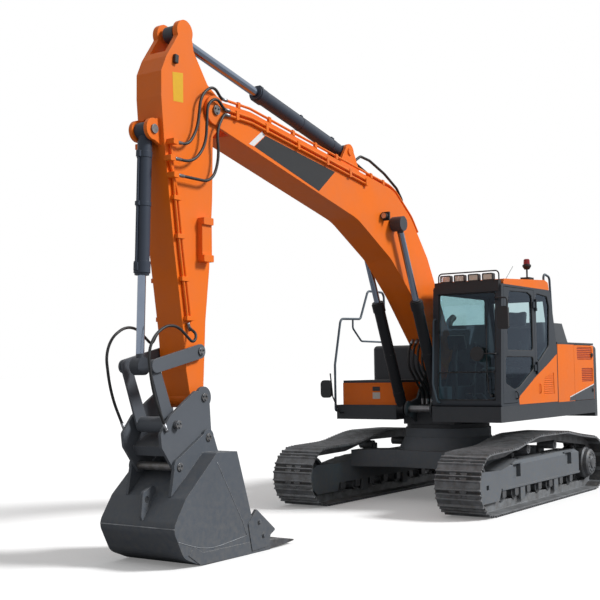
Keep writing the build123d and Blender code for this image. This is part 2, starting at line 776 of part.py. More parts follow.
HINGE = (35.0, CAB_OUTER + 22)
HINGE_Z = (1800.0, 2650.0)
KNUCKLE = 80.0
lean = (CAB_PROFILE[1][0] - CAB_PROFILE[0][0]) / (CAB_TOP - CAB_FLOOR)


def front_face(z, inwards):
    """The point of the cab's front at this height, set back by this much."""
    return (CAB_PROFILE[0][0] + lean * (z - CAB_FLOOR) - inwards, z)


with BuildPart() as cab_shell:
    with BuildSketch(side_plane(CAB_OUTER)):
        with BuildLine():
            FilletPolyline(*CAB_PROFILE, radius=40, close=True)
        make_face()
    extrude(amount=CAB_OUTER - CAB_INNER)
    with BuildSketch(side_plane(CAB_OUTER - CAB_WALL)):
        with BuildLine():
            Polyline(*CAB_PROFILE, close=True)
        make_face()
        offset(amount=-CAB_WALL, kind=Kind.INTERSECTION)
    extrude(amount=CAB_OUTER - CAB_INNER - 2 * CAB_WALL, mode=Mode.SUBTRACT)
    with BuildSketch(side_plane(CAB_OUTER + 1)):
        with BuildLine():
            Polyline(*DOOR_OUTLINE, close=True)
        make_face()
        offset(amount=DOOR_GAP, kind=Kind.INTERSECTION)
    extrude(amount=CAB_WALL + 2, mode=Mode.SUBTRACT)
    with BuildSketch(side_plane(CAB_OUTER + 1)):
        with BuildLine():
            FilletPolyline(*QUARTER_WINDOW, radius=45, close=True)
        make_face()
    extrude(amount=CAB_WALL + 2, mode=Mode.SUBTRACT)
    with BuildSketch(side_plane(CAB_INNER + CAB_WALL + 1)):
        with BuildLine():
            FilletPolyline(*RIGHT_WINDOW, radius=45, close=True)
        make_face()
    extrude(amount=CAB_WALL + 2, mode=Mode.SUBTRACT)
    with BuildSketch(side_plane(CAB_OUTER)):
        with BuildLine():
            Polyline(*COVER_OUTLINE, close=True)
        make_face()
        offset(amount=SEAT_GAP, kind=Kind.INTERSECTION)
    extrude(amount=COVER_THICK + SEAT_GAP, mode=Mode.SUBTRACT)
    with Locations((DECK_FRONT - 60, cab_mid, (WINDSCREEN_LOW + WINDSCREEN_HIGH) / 2)):
        Box(220, CAB_OUTER - CAB_INNER - 2 * PILLAR, WINDSCREEN_HIGH - WINDSCREEN_LOW, mode=Mode.SUBTRACT)
    with Locations((-640, cab_mid, 2430)):
        Box(300, CAB_OUTER - CAB_INNER - 2 * PILLAR - 60, 600, mode=Mode.SUBTRACT)
    for z in HINGE_Z:
        for half in (-1, 1):
            height = z + half * (KNUCKLE * 0.75 + SEAT_GAP)
            with Locations((HINGE[0] - 30, CAB_OUTER + 9, height)):
                Box(50, 20, KNUCKLE / 2)
            with Locations((*HINGE, height)):
                Cylinder(12, KNUCKLE / 2)
            with Locations((HINGE[0] - 12, HINGE[1] - 3, height)):
                Box(24, 14, KNUCKLE / 2)
finish("cab_shell", cab_shell)

with BuildPart() as cab_side_cover:
    with BuildSketch(side_plane(CAB_OUTER)):
        with BuildLine():
            Polyline(*COVER_OUTLINE, close=True)
        make_face()
    extrude(amount=COVER_THICK)
    with BuildSketch(side_plane(CAB_OUTER)):
        with BuildLine():
            FilletPolyline(*COVER_LOUVRE, radius=25, close=True)
        make_face()
    extrude(amount=COVER_THICK - 3, mode=Mode.SUBTRACT)
    for i in range(9):
        with BuildSketch(side_plane(CAB_OUTER)):
            with Locations((-420, 1450 + i * 30)):
                Rectangle(330, 10)
            with BuildLine():
                FilletPolyline(*COVER_LOUVRE, radius=25, close=True)
            make_face(mode=Mode.INTERSECT)
        extrude(amount=COVER_THICK - 3)
finish("cab_side_cover", cab_side_cover)

BEACON = (-380.0, 1090.0)  # on the roof's highest line
ROOF_RISE = 135.0
with BuildPart() as cab_roof:
    with BuildSketch(side_plane(CAB_OUTER - 10)):
        with BuildLine():
            FilletPolyline(
                (1040, CAB_TOP + SEAT_GAP),
                (1000, CAB_TOP + 70),
                (BEACON[0], CAB_TOP + ROOF_RISE),
                (-500, CAB_TOP + 105),
                (-535, CAB_TOP + SEAT_GAP),
                radius=20,
                close=True,
            )
        make_face()
    extrude(amount=CAB_OUTER - CAB_INNER - 20)
finish("cab_roof", cab_roof)

with BuildPart() as cab_glass:
    for low, high in ((WINDSCREEN_LOW, WINDSCREEN_SPLIT), (WINDSCREEN_SPLIT, WINDSCREEN_HIGH)):
        z0 = low + GLASS_GAP
        z1 = high - GLASS_GAP
        with BuildSketch(side_plane(CAB_OUTER - PILLAR - GLASS_GAP)):
            with BuildLine():
                Polyline(
                    front_face(z0, GLASS_SET),
                    front_face(z1, GLASS_SET),
                    front_face(z1, GLASS_SET + GLASS),
                    front_face(z0, GLASS_SET + GLASS),
                    close=True,
                )
            make_face()
        extrude(amount=CAB_OUTER - CAB_INNER - 2 * PILLAR - 2 * GLASS_GAP)
    with BuildSketch(side_plane(CAB_OUTER - 15)):
        with BuildLine():
            FilletPolyline(*QUARTER_WINDOW, radius=45, close=True)
        make_face()
        offset(amount=-GLASS_GAP)
    extrude(amount=GLASS)
    with BuildSketch(side_plane(CAB_INNER + 15 + GLASS)):
        with BuildLine():
            FilletPolyline(*RIGHT_WINDOW, radius=45, close=True)
        make_face()
        offset(amount=-GLASS_GAP)
    extrude(amount=GLASS)
finish("cab_glass", cab_glass)

with BuildPart() as cab_door:
    with BuildSketch(side_plane(CAB_OUTER)):
        with BuildLine():
            Polyline(*DOOR_OUTLINE, close=True)
        make_face()
        with BuildLine():
            FilletPolyline(*UPPER_WINDOW, radius=50, close=True)
        make_face(mode=Mode.SUBTRACT)
        with BuildLine():
            FilletPolyline(*LOWER_WINDOW, radius=50, close=True)
        make_face(mode=Mode.SUBTRACT)
    extrude(amount=DOOR_THICK)
    for z in HINGE_Z:
        with Locations((HINGE[0] + 38, HINGE[1] - 11, z)):
            Box(76, 14, KNUCKLE)
        with Locations((HINGE[0] + 52, CAB_OUTER + 3, z)):
            Box(48, 8, KNUCKLE)
        with Locations((*HINGE, z)):
            Cylinder(12, KNUCKLE)
finish("cab_door", cab_door)

with BuildPart() as door_glass:
    for window in (UPPER_WINDOW, LOWER_WINDOW):
        with BuildSketch(side_plane(CAB_OUTER - 15)):
            with BuildLine():
                FilletPolyline(*window, radius=50, close=True)
            make_face()
            offset(amount=-GLASS_GAP)
        extrude(amount=GLASS)
finish("door_glass", door_glass)

# Lamps, mirrors, beacon and grab rails round the cab, each seated on it.
LAMP_COUNT = 4
LAMP_PITCH = 200.0
LAMP_X = 1045.0
LAMP_BAR = (80.0, 50.0)  # depth and height of the bar that carries the lamps
BAR_TOP = CAB_TOP + SEAT_GAP + LAMP_BAR[1]
with BuildPart() as roof_lamps:
    with Locations((LAMP_X + LAMP_BAR[0] / 2, cab_mid, BAR_TOP - LAMP_BAR[1] / 2)):
        Box(LAMP_BAR[0], CAB_WIDTH - 60, LAMP_BAR[1])
    with Locations((front_face(2785, 0)[0] + SEAT_GAP + 6, cab_mid, 2850)):
        Box(12, CAB_WIDTH - 60, 130)
    for i in range(LAMP_COUNT):
        y = cab_mid + (i - (LAMP_COUNT - 1) / 2) * LAMP_PITCH
        with BuildSketch(Plane.YZ.offset(LAMP_X)):
            with Locations((y, BAR_TOP + 48)):
                RectangleRounded(145, 92, 18)
        with BuildSketch(Plane.YZ.offset(LAMP_X + 80)):
            with Locations((y, BAR_TOP + 46)):
                RectangleRounded(150, 96, 18)
        loft()
        with BuildSketch(Plane.YZ.offset(LAMP_X + 80)):
            with Locations((y, BAR_TOP + 46)):
                RectangleRounded(126, 72, 10)
        extrude(amount=-12, mode=Mode.SUBTRACT)
    tube(
        [
            (LAMP_X + 12, CAB_OUTER - 55, BAR_TOP - 20),
            (LAMP_X + 12, CAB_OUTER - 55, BAR_TOP + 125),
            (LAMP_X + 12, CAB_INNER + 55, BAR_TOP + 125),
            (LAMP_X + 12, CAB_INNER + 55, BAR_TOP - 20),
        ],
        9,
        [50, 50],
    )
finish("roof_lamps", roof_lamps)

with BuildPart() as beacon:
    roof = CAB_TOP + ROOF_RISE + SEAT_GAP
    with Locations((BEACON[0], BEACON[1], roof + 25)):
        Box(170, 130, 50)
    with Locations((BEACON[0], BEACON[1], roof + 110)):
        Cylinder(12, 140)
    with BuildSketch(Plane.XZ.offset(-BEACON[1])):
        with BuildLine():
            Polyline(
                (BEACON[0], roof + 165),
                (BEACON[0] + 34, roof + 165),
                (BEACON[0] + 60, roof + 205),
                (BEACON[0] + 60, roof + 230),
                (BEACON[0] + 46, roof + 235),
                (BEACON[0] + 42, roof + 300),
                (BEACON[0] + 30, roof + 312),
                (BEACON[0], roof + 312),
                close=True,
            )
        make_face()
    revolve(axis=Axis((BEACON[0], BEACON[1], 0), (0, 0, 1)))
finish("beacon", beacon)

# Rails to hold on to, beside the tank and on the cab.
RAIL_RADIUS_OUT = 17.0
RAIL_Y = TANK_MID[1] - TANK_WIDTH / 2 - RAIL_RADIUS_OUT - SEAT_GAP  # beside the tank
RAIL_TOP = 2990.0
with BuildPart() as handrails:
    front = STORAGE_FRONT + SEAT_GAP
    tube(
        [
            (front, RAIL_Y, 1230),
            (870, RAIL_Y, 1230),
            (870, RAIL_Y, 1880),
            (700, RAIL_Y, 2545),
            (150, RAIL_Y, 2560),
            (-80, RAIL_Y, RAIL_TOP),
            (-560, RAIL_Y, RAIL_TOP),
            (-570, RAIL_Y, 1950),
        ],
        RAIL_RADIUS_OUT,
        [30, 90, 90, 70, 90, 90],
    )
    tube(
        [(363, RAIL_Y, 2552), (367, RAIL_Y, 2418), (129, RAIL_Y, 2230), (-566, RAIL_Y, 2225)],
        RAIL_RADIUS_OUT - 3,
        [60, 90],
    )
    tube(
        [
            (front_face(2450, 0)[0] + SEAT_GAP + 0.8, CAB_INNER + 38, 2450),
            (front_face(2450, 0)[0] + 60, CAB_INNER + 38, 2450),
            (front_face(1600, 0)[0] + 60, CAB_INNER + 38, 1600),
            (front_face(1362, 0)[0] + 60, CAB_INNER + 108, 1362),
            (front_face(1362, 0)[0] + SEAT_GAP + 0.8, CAB_INNER + 108, 1362),
        ],
        12,
        [40, 60, 35],
    )
    tube(
        [
            (-470, CAB_OUTER - 60, CAB_TOP + 117),
            (-470, CAB_OUTER - 60, CAB_TOP + 235),
            (-690, CAB_OUTER - 60, CAB_TOP + 200),
            (CAB_BACK - 20, CAB_OUTER - 60, BODY_TOP + SEAT_GAP + 1.5),
        ],
        16,
        [55, 70],
    )
finish("handrails", handrails)

MIRROR_ARM = 10.0
ROUND_MIRROR_Z = 1985.0
with BuildPart() as mirrors:
    pillar = front_face(2680, 0)[0]
    tube(
        [
            (pillar + SEAT_GAP + 0.7, CAB_OUTER - 60, 2680),
            (pillar + 50, CAB_OUTER - 60, 2680),
            (pillar + 110, CAB_OUTER - 20, 2690),
            (pillar + 130, CAB_OUTER + 135, 2690),
            (pillar + 135, CAB_OUTER + 138, 2420),
        ],
        MIRROR_ARM,
        [30, 60, 40],
    )
    with BuildSketch(Plane((pillar + 110, CAB_OUTER + 75, 2435), x_dir=(0, 1, 0), z_dir=(1, 0, 0))):
        RectangleRounded(150, 290, 35)
    extrude(amount=40)
    pillar = front_face(ROUND_MIRROR_Z, 0)[0]
    tube(
        [
            (pillar + SEAT_GAP + 0.6, CAB_OUTER - 60, ROUND_MIRROR_Z),
            (pillar + 60, CAB_OUTER - 60, ROUND_MIRROR_Z),
            (pillar + 60, CAB_OUTER - 260, ROUND_MIRROR_Z),
        ],
        8,
        [35],
    )
    with BuildSketch(Plane((pillar + 50, CAB_OUTER - 300, ROUND_MIRROR_Z), x_dir=(0, 1, 0), z_dir=(1, 0, 0))):
        Circle(92)
    extrude(amount=36)
    tube(
        [
            (STORAGE_FRONT + SEAT_GAP, -1250, 1200),
            (900, -1250, 1200),
            (1000, -1300, 1430),
            (1010, -1330, 1760),
        ],
        MIRROR_ARM,
        [40, 60],
    )
    with BuildSketch(Plane((985, -1400, 1540), x_dir=(0, 1, 0), z_dir=(1, 0, 0))):
        RectangleRounded(170, 250, 60)
    extrude(amount=45)
finish("mirrors", mirrors)

CONSOLE_Z = CAB_FLOOR + CAB_WALL + SEAT_GAP
with BuildPart() as cab_console:
    for y_side in (1, -1):
        y = cab_mid + y_side * 330
        with BuildSketch(side_plane(y + 65)):
            with BuildLine():
                FilletPolyline(
                    (-300, CONSOLE_Z),
                    (-330, CONSOLE_Z + 560),
                    (60, CONSOLE_Z + 640),
                    (250, CONSOLE_Z + 600),
                    (260, CONSOLE_Z + 520),
                    (60, CONSOLE_Z + 470),
                    (40, CONSOLE_Z),
                    radius=25,
                    close=True,
                )
            make_face()
        extrude(amount=130)
        tube([(170, y, CONSOLE_Z + 605), (175, y, CONSOLE_Z + 660), (200, y, CONSOLE_Z + 790)], 16, [60])
    with BuildSketch(side_plane(cab_mid - 290)):
        with BuildLine():
            Polyline(
                (900, CONSOLE_Z),
                (900, CONSOLE_Z + 560),
                (820, CONSOLE_Z + 760),
                (790, CONSOLE_Z + 750),
                (850, CONSOLE_Z + 540),
                (840, CONSOLE_Z),
                close=True,
            )
        make_face()
    extrude(amount=60)
    with BuildSketch(Plane((800, cab_mid - 320, CONSOLE_Z + 780), x_dir=(0, 1, 0), z_dir=(-1, 0, 0.3))):
        RectangleRounded(250, 190, 20)
    extrude(amount=45)
    for y in (cab_mid - 75, cab_mid + 75):
        tube([(780, y, CONSOLE_Z), (790, y, CONSOLE_Z + 300), (700, y, CONSOLE_Z + 640)], 11, [90])
        with BuildSketch(side_plane(y + 45)):
            with BuildLine():
                Polyline(
                    (840, CONSOLE_Z),
                    (980, CONSOLE_Z + 100),
                    (970, CONSOLE_Z + 115),
                    (780, CONSOLE_Z + 15),
                    (760, CONSOLE_Z),
                    close=True,
                )
            make_face()
        extrude(amount=90)
finish("cab_console", cab_console)

with BuildPart() as operator_seat:
    seat_z = CONSOLE_Z
    with Locations((-40, cab_mid, seat_z + 150)):
        Box(420, 380, 300)
    for y_half, outline, bend in (
        (250, [(-250, 300), (-270, 440), (290, 450), (320, 390), (270, 300)], 35),
        (240, [(-330, 400), (-520, 1010), (-430, 1040), (-190, 460), (-220, 400)], 35),
        (150, [(-530, 990), (-590, 1230), (-490, 1260), (-420, 1010)], 30),
    ):
        with BuildSketch(side_plane(cab_mid + y_half)):
            with BuildLine():
                FilletPolyline(*[(x, seat_z + z) for x, z in outline], radius=bend, close=True)
            make_face()
        extrude(amount=2 * y_half)
finish("operator_seat", operator_seat)

# ---------------------------------------------------------------- boom
BOOM_TOP_EDGE = [(60, 1900), (900, 3300), (1330, 3790), (1800, 4112), (4850, 4545), (5350, 4552)]
BOOM_LOW_EDGE = [(5420, 4290), (2700, 3640), (1900, 3215), (1350, 2760), (300, 1700)]
FORK_HALF = ARM_HALF_WIDTH + 6
CURL_PIN_RADIUS = 45.0
FORK_REACH = 330.0  # how far the fork's slot is cut back from the pin
BOOM_PIN_RADIUS = 50.0


with BuildPart() as boom:
    with BuildSketch(side_plane(0)):
        with BuildLine():
            FilletPolyline(
                *BOOM_TOP_EDGE,
                *BOOM_LOW_EDGE,
                radius=[60, 300, 500, 600, 300, 60, 60, 900, 500, 600, 60],
                close=True,
            )
        make_face()
        with Locations(BOOM_FOOT):
            Circle(150)
        with Locations(BOOM_TIP):
            Circle(150)
    extrude(amount=BOOM_HALF_WIDTH, both=True)
    for outside in (1, -1):
        with BuildSketch(side_plane(max(outside * BOOM_ROOT_HALF_WIDTH, outside * (BOOM_HALF_WIDTH + 10)))):
            with Locations(BOOM_FOOT):
                Circle(480)
        extrude(amount=BOOM_HALF_WIDTH + 10 - BOOM_ROOT_HALF_WIDTH, mode=Mode.SUBTRACT)
    with BuildSketch(side_plane(0)):
        with Locations(BOOM_TIP):
            Circle(FORK_REACH)
            with Locations((FORK_REACH / 2, 0)):
                Rectangle(FORK_REACH, 2 * FORK_REACH)
    extrude(amount=FORK_HALF, both=True, mode=Mode.SUBTRACT)
    with BuildSketch(side_plane(0)):
        with Locations(BOOM_FOOT, BOOM_TIP):
            Circle(BOOM_PIN_RADIUS + PIN_GAP)
    extrude(amount=BOOM_HALF_WIDTH, both=True, mode=Mode.SUBTRACT)
finish("boom", boom)

CROWD_BRACKET = 92.0  # half the gap between the lugs of the crowd cylinder's foot
with BuildPart() as crowd_bracket:
    for outside in (CROWD_BRACKET + 35, -CROWD_BRACKET):
        with BuildSketch(side_plane(outside)):
            with BuildLine():
                Polyline(
                    (2500, height_on(BOOM_TOP_EDGE, 2500)),
                    (2690, CROWD_FOOT[1] + 70),
                    (2810, CROWD_FOOT[1] + 70),
                    (2990, height_on(BOOM_TOP_EDGE, 2990)),
                    close=True,
                )
            make_face()
            with Locations(CROWD_FOOT):
                Circle(95)
                Circle(CURL_PIN_RADIUS + PIN_GAP, mode=Mode.SUBTRACT)
        extrude(amount=35)
    with Locations((CROWD_FOOT[0], 0, CROWD_FOOT[1])):
        Cylinder(45, 2 * (CROWD_BRACKET + 50), rotation=(90, 0, 0))
finish("crowd_bracket", crowd_bracket)

# Pipes along the boom, held in clamps that sit on its plates.
PIPE = 14.0
PIPE_RISE = 42.0  # middle of a pipe over the plate it runs along
TOP_PIPE_Y = 180.0
INNER_PIPE_Y = 146.0
SIDE_PIPE_Y = BOOM_HALF_WIDTH + PIPE + 6
SIDE_DROPS = (70.0, 122.0)  # the side pipes' places under the top edge
PIPE_END = 5240.0
PIPE_START = 250.0  # how far the pipes reach down the boom's root
TOP_CLAMPS = (2050, 2350, 3150, 3600, 4050, 4500, 5050)
SIDE_CLAMPS = (2520, 2900, 3400, 4000, 4600, 5120)
SIDE_START = 2500.0  # in front of the reach of the lift rods' eyes
boom_outline = BOOM_TOP_EDGE + BOOM_LOW_EDGE


def pipe_route(rise, end_x):
    """x and z of a pipe that follows the boom's top edge at this height over it, and its bends."""
    line = shifted(boom_outline, -rise)
    route = [toward(line[2], line[1], PIPE_START), *line[2:5]]
    bends = [500 + rise, 600 + rise, 300 + rise]
    route.append((end_x, height_on(BOOM_TOP_EDGE, end_x) + rise))
    return route, bends


with BuildPart() as boom_pipes:
    route, bends = pipe_route(PIPE_RISE, PIPE_END)
    for y in (TOP_PIPE_Y, -TOP_PIPE_Y):
        tube([(x, y, z) for x, z in route], PIPE, bends)
    inner_end = (TOP_CLAMPS[1], height_on(BOOM_TOP_EDGE, TOP_CLAMPS[1]) + PIPE_RISE)
    for y in (INNER_PIPE_Y, -INNER_PIPE_Y):
        tube([(x, y, z) for x, z in (*route[:3], inner_end)], PIPE, bends[:2])
    for x in TOP_CLAMPS:
        width = 76 if x <= TOP_CLAMPS[1] else 30  # wider where there are two pipes
        for outside in (TOP_PIPE_Y + 18, width - TOP_PIPE_Y - 18):
            with BuildSketch(side_plane(outside)):
                with BuildLine():
                    Polyline(
                        (x - 22, height_on(BOOM_TOP_EDGE, x - 22) + SEAT_GAP),
                        (x + 22, height_on(BOOM_TOP_EDGE, x + 22) + SEAT_GAP),
                        (x + 22, height_on(BOOM_TOP_EDGE, x + 22) + PIPE_RISE + PIPE + 6),
                        (x - 22, height_on(BOOM_TOP_EDGE, x - 22) + PIPE_RISE + PIPE + 6),
                        close=True,
                    )
                make_face()
            extrude(amount=width)
    for y_side in (1, -1):
        for drop in SIDE_DROPS:
            route, bends = pipe_route(-drop, PIPE_END)
            side_start = (SIDE_START, height_on(BOOM_TOP_EDGE, SIDE_START) - drop)
            tube([(x, y_side * SIDE_PIPE_Y, z) for x, z in (side_start, *route[3:])], PIPE, bends[2:])
        for x in SIDE_CLAMPS:
            middle = height_on(BOOM_TOP_EDGE, x) - sum(SIDE_DROPS) / 2
            near = y_side * (BOOM_HALF_WIDTH + SEAT_GAP)
            far = y_side * (SIDE_PIPE_Y + PIPE + 6)
            with BuildSketch(side_plane(max(near, far))):
                with Locations((x, middle)):
                    Rectangle(44, SIDE_DROPS[1] - SIDE_DROPS[0] + 2 * PIPE + 16)
            extrude(amount=abs(far - near))
finish("boom_pipes", boom_pipes)

HOSE = 17.0
with BuildPart() as crowd_hoses:
    for y in (CROWD_BRACKET + HOSE, -CROWD_BRACKET - HOSE):
        tube(
            [
                (2599.6, y, 4384.2),
                (2470, y, 4459),
                (2250, y, 4440),
                (1879, y, 4325),
                (1560, y, 4175),
                (1415, y, 4030),
                (1499.8, y, 3907.1),
            ],
            HOSE,
            [90, 200, 300, 120, 45],
        )
finish("crowd_hoses", crowd_hoses)

with BuildPart() as boom_hoses:
    for y in (-105, -35, 35, 105):
        tube(
            [
                (560, y, DECK_TOP + SEAT_GAP),
                (560, y, 1480),
                (960, y, 1850),
                (913.9, y, 2091.8),
                (800.2, y, 2204.6),
            ],
            HOSE,
            [120, 120, 60],
        )
finish("boom_hoses", boom_hoses)

with BuildPart() as boom_lamps:
    for y_side in (1, -1):
        middle = y_side * (BOOM_HALF_WIDTH + SEAT_GAP + 45)
        with Locations((2070, middle, 3740)):
            Box(30, 90, 110)
        with BuildSketch(Plane.YZ.offset(2085)):
            with Locations((middle, 3740)):
                Circle(34)
        with BuildSketch(Plane.YZ.offset(2150)):
            with Locations((middle, 3740)):
                Circle(44)
        loft()
        with BuildSketch(Plane.YZ.offset(2150)):
            with Locations((middle, 3740)):
                Circle(38)
        extrude(amount=-10, mode=Mode.SUBTRACT)
finish("boom_lamps", boom_lamps)

# ---------------------------------------------------------------- arm
ARM_OUTLINE = [
    (5886, 5268),
    (5790, 5247),
    (5740, 4990),
    (5527, 4700),
    (5300, 4570),
    (5300, 4330),
    (5447, 4180),
    (5466, 3530),
    (5523, 2816),
    (5589, 2300),
    (5632, 1560),
    (5828, 1560),
    (5886, 1819),
    (5927, 2205),
    (6051, 2972),
    (6126, 3544),
    (6187, 4020),
    (6226, 4449),
    (6224, 4693),
    (6150, 4850),
    (5989, 5080),
]
TIP_BOSS = 100.0
TAIL_GAP = 100.0  # half the gap between the plates of the arm's tail
EAR_GAP = 76.0
GUIDE_PIN_RADIUS = 40.0
BUCKET_PIN_RADIUS = 40.0
with BuildPart() as arm:
    with BuildSketch(side_plane(0)):
        with BuildLine():
            Polyline(*ARM_OUTLINE, close=True)
        make_face()
        with Locations(BOOM_TIP):
            Circle(165)
        with Locations(BUCKET_PIN):
            Circle(TIP_BOSS)
        with Locations(CROWD_EYE):
            Circle(118)
    extrude(amount=ARM_HALF_WIDTH, both=True)
    with BuildSketch(side_plane(0)):
        with BuildLine():
            Polyline((6150, 4260), (6330, 4200), (6370, 4100), (6300, 4030), (6150, 3960), close=True)
        make_face()
        with Locations(CURL_HEAD):
            Circle(105)
    extrude(amount=EAR_GAP + 40, both=True)
    with BuildSketch(side_plane(0)):
        with Locations(CURL_HEAD):
            Circle(125)
            with Locations((50, -137)):
                Rectangle(330, 525)
    extrude(amount=EAR_GAP, both=True, mode=Mode.SUBTRACT)
    with BuildSketch(side_plane(0)):
        with Locations(CROWD_EYE):
            Circle(330)
    extrude(amount=TAIL_GAP, both=True, mode=Mode.SUBTRACT)
    with BuildSketch(side_plane(0)):
        with Locations(BOOM_TIP):
            Circle(BOOM_PIN_RADIUS + PIN_GAP)
        with Locations(GUIDE_PIN, BUCKET_PIN):
            Circle(GUIDE_PIN_RADIUS + PIN_GAP)
        with Locations(CURL_HEAD):
            Circle(CURL_PIN_RADIUS + PIN_GAP)
    extrude(amount=ARM_HALF_WIDTH, both=True, mode=Mode.SUBTRACT)
finish("arm", arm)

# Pipes down the arm's sides from the unions where the hoses end, and the
# valve block on its left side.
UNIONS = [(6115.0, 4013.0), (6160.0, 3845.0), (6110.0, 3689.0)]
UNION = 36.0  # half length of a union
UNION_TOP = ARM_HALF_WIDTH + SEAT_GAP + 90
ARM_PIPE_Y = ARM_HALF_WIDTH + SEAT_GAP + 60
ARM_PIPE_END = (5880.0, 2290.0)
with BuildPart() as arm_pipes:
    for y_side in (1, -1):
        for i, (x, z) in enumerate(UNIONS if y_side > 0 else UNIONS[:1]):
            near = y_side * (ARM_HALF_WIDTH + SEAT_GAP)
            with BuildSketch(side_plane(max(near, y_side * UNION_TOP))):
                with Locations((x, z)):
                    RectangleRounded(2 * UNION, 56, 8)
            extrude(amount=UNION_TOP - abs(near))
        inset = 0
        for x, z in UNIONS[:2] if y_side > 0 else UNIONS[:1]:
            tube(
                [
                    (x - inset / 2, y_side * (ARM_HALF_WIDTH + 20), z),
                    (6068 - inset, y_side * (ARM_HALF_WIDTH + 20), 3540),
                    (5990 - inset, y_side * (ARM_HALF_WIDTH + 20), 2972),
                    (ARM_PIPE_END[0] - inset, y_side * (ARM_HALF_WIDTH + 20), ARM_PIPE_END[1]),
                ],
                PIPE,
                [200, 400],
            )
            inset += 45
        for x, z in ((6060, 3480), (6010, 3110), (5950, 2700), (ARM_PIPE_END[0] + 2, ARM_PIPE_END[1] + 30)):
            near = y_side * (ARM_HALF_WIDTH + SEAT_GAP)
            with BuildSketch(side_plane(max(near, y_side * (ARM_HALF_WIDTH + 42)))):
                with Locations((x - 22, z)):
                    Rectangle(110, 44)
            extrude(amount=42 - SEAT_GAP)
    for z, height, width in ((3105, 440, 60), (3290, 72, 84), (2920, 70, 84)):
        with BuildSketch(side_plane(ARM_HALF_WIDTH + SEAT_GAP + width)):
            with Locations((5625, z)):
                RectangleRounded(150, height, 12)
        extrude(amount=width)
finish("arm_pipes", arm_pipes)

HOSE_Y = BOOM_HALF_WIDTH + 41  # clear of the end of the boom's pin
with BuildPart() as arm_hoses:
    side_end = height_on(BOOM_TOP_EDGE, PIPE_END)
    for y_side in (1, -1):
        tube(
            [
                (PIPE_END + SEAT_GAP, y_side * TOP_PIPE_Y, side_end + PIPE_RISE),
                (5330, y_side * TOP_PIPE_Y, side_end + PIPE_RISE + 1.2),
                (5500, y_side * (HOSE_Y - 16), 4690),
                (5700, y_side * (HOSE_Y - 16), 4560),
                (5760, y_side * (HOSE_Y - 16), 4200),
                (5900, y_side * (HOSE_Y - 16), UNIONS[0][1]),
                (UNIONS[0][0] - UNION - SEAT_GAP, y_side * (HOSE_Y - 16), UNIONS[0][1]),
            ],
            15,
            [90, 110, 110, 120, 90],
        )
    tube(
        [
            (PIPE_END + SEAT_GAP, SIDE_PIPE_Y, side_end - SIDE_DROPS[0]),
            (5330, SIDE_PIPE_Y, side_end - SIDE_DROPS[0]),
            (5470, HOSE_Y, 4570),
            (5620, HOSE_Y, 4480),
            (5650, HOSE_Y, 4050),
            (5850, HOSE_Y, UNIONS[1][1]),
            (UNIONS[1][0] - UNION - SEAT_GAP, HOSE_Y, UNIONS[1][1]),
        ],
        15,
        [70, 90, 90, 150, 90],
    )
    tube(
        [
            (PIPE_END + SEAT_GAP, SIDE_PIPE_Y, side_end - SIDE_DROPS[1]),
            (5330, SIDE_PIPE_Y, side_end - SIDE_DROPS[1]),
            (5480, HOSE_Y, 4230),
            (5440, HOSE_Y, 3950),
            (5560, HOSE_Y, UNIONS[2][1]),
            (UNIONS[2][0] - UNION - SEAT_GAP, HOSE_Y, UNIONS[2][1]),
        ],
        15,
        [70, 110, 110, 110],
    )
finish("arm_hoses", arm_hoses)

LINK_LAYER = (ARM_HALF_WIDTH + 5, 22.0)  # inside face of the H link plates, thickness
GUIDE_LAYER = (LINK_LAYER[0] + LINK_LAYER[1] + 5, 24.0)
COUPLER_LAYER = (GUIDE_LAYER[0] + GUIDE_LAYER[1] + 5, 32.0)
EAR_LAYER = (COUPLER_LAYER[0] + COUPLER_LAYER[1] + 1, 34.0)
with BuildPart() as coupler_hoses:
    coupler_side = sum(COUPLER_LAYER) + PIPE + SEAT_GAP
    for y_side in (1, -1):
        tube(
            [
                (ARM_PIPE_END[0] - SEAT_GAP, y_side * (ARM_HALF_WIDTH + 20), ARM_PIPE_END[1] - 14),
                (5850, y_side * (ARM_HALF_WIDTH + 20), 2180),
                (5900, y_side * coupler_side, 2080),
                (6200, y_side * coupler_side, 2290),
                (6560, y_side * coupler_side, 2080),
                (6480, y_side * coupler_side, 1600),
                (6290, y_side * coupler_side, 1250),
            ],
            14,
            [40, 60, 150, 170, 200],
        )
finish("coupler_hoses", coupler_hoses)

# ---------------------------------------------------------------- cylinders
RAMS = [
    # name, foot, eye, middles, barrel radius, rod radius, barrel length, rod length,
    # foot eye radius, foot pin radius, half width of the foot eye, half width of the rod eye
    ("boom_cylinder", LIFT_FOOT, LIFT_EYE, (LIFT_Y, -LIFT_Y), 75, 42, 1570, 1330, 88, 45, 50, 75),
    ("arm_cylinder", CROWD_FOOT, CROWD_EYE, (0,), 82, 50, 1795, 1880, 90, 45, 86, 60),
    ("bucket_cylinder", CURL_HEAD, LINK_EYE, (0,), 70, 40, 1400, 1620, 80, 45, 70, 55),
]
PORT_AT = 230.0  # from a foot's pin to the first port


def ram_plane(foot, eye, y):
    """The plane across a ram at its foot, facing along it; its y looks away from the load."""
    return Plane((foot[0], y, foot[1]), x_dir=(0, 1, 0), z_dir=(eye[0] - foot[0], 0, eye[1] - foot[1]))


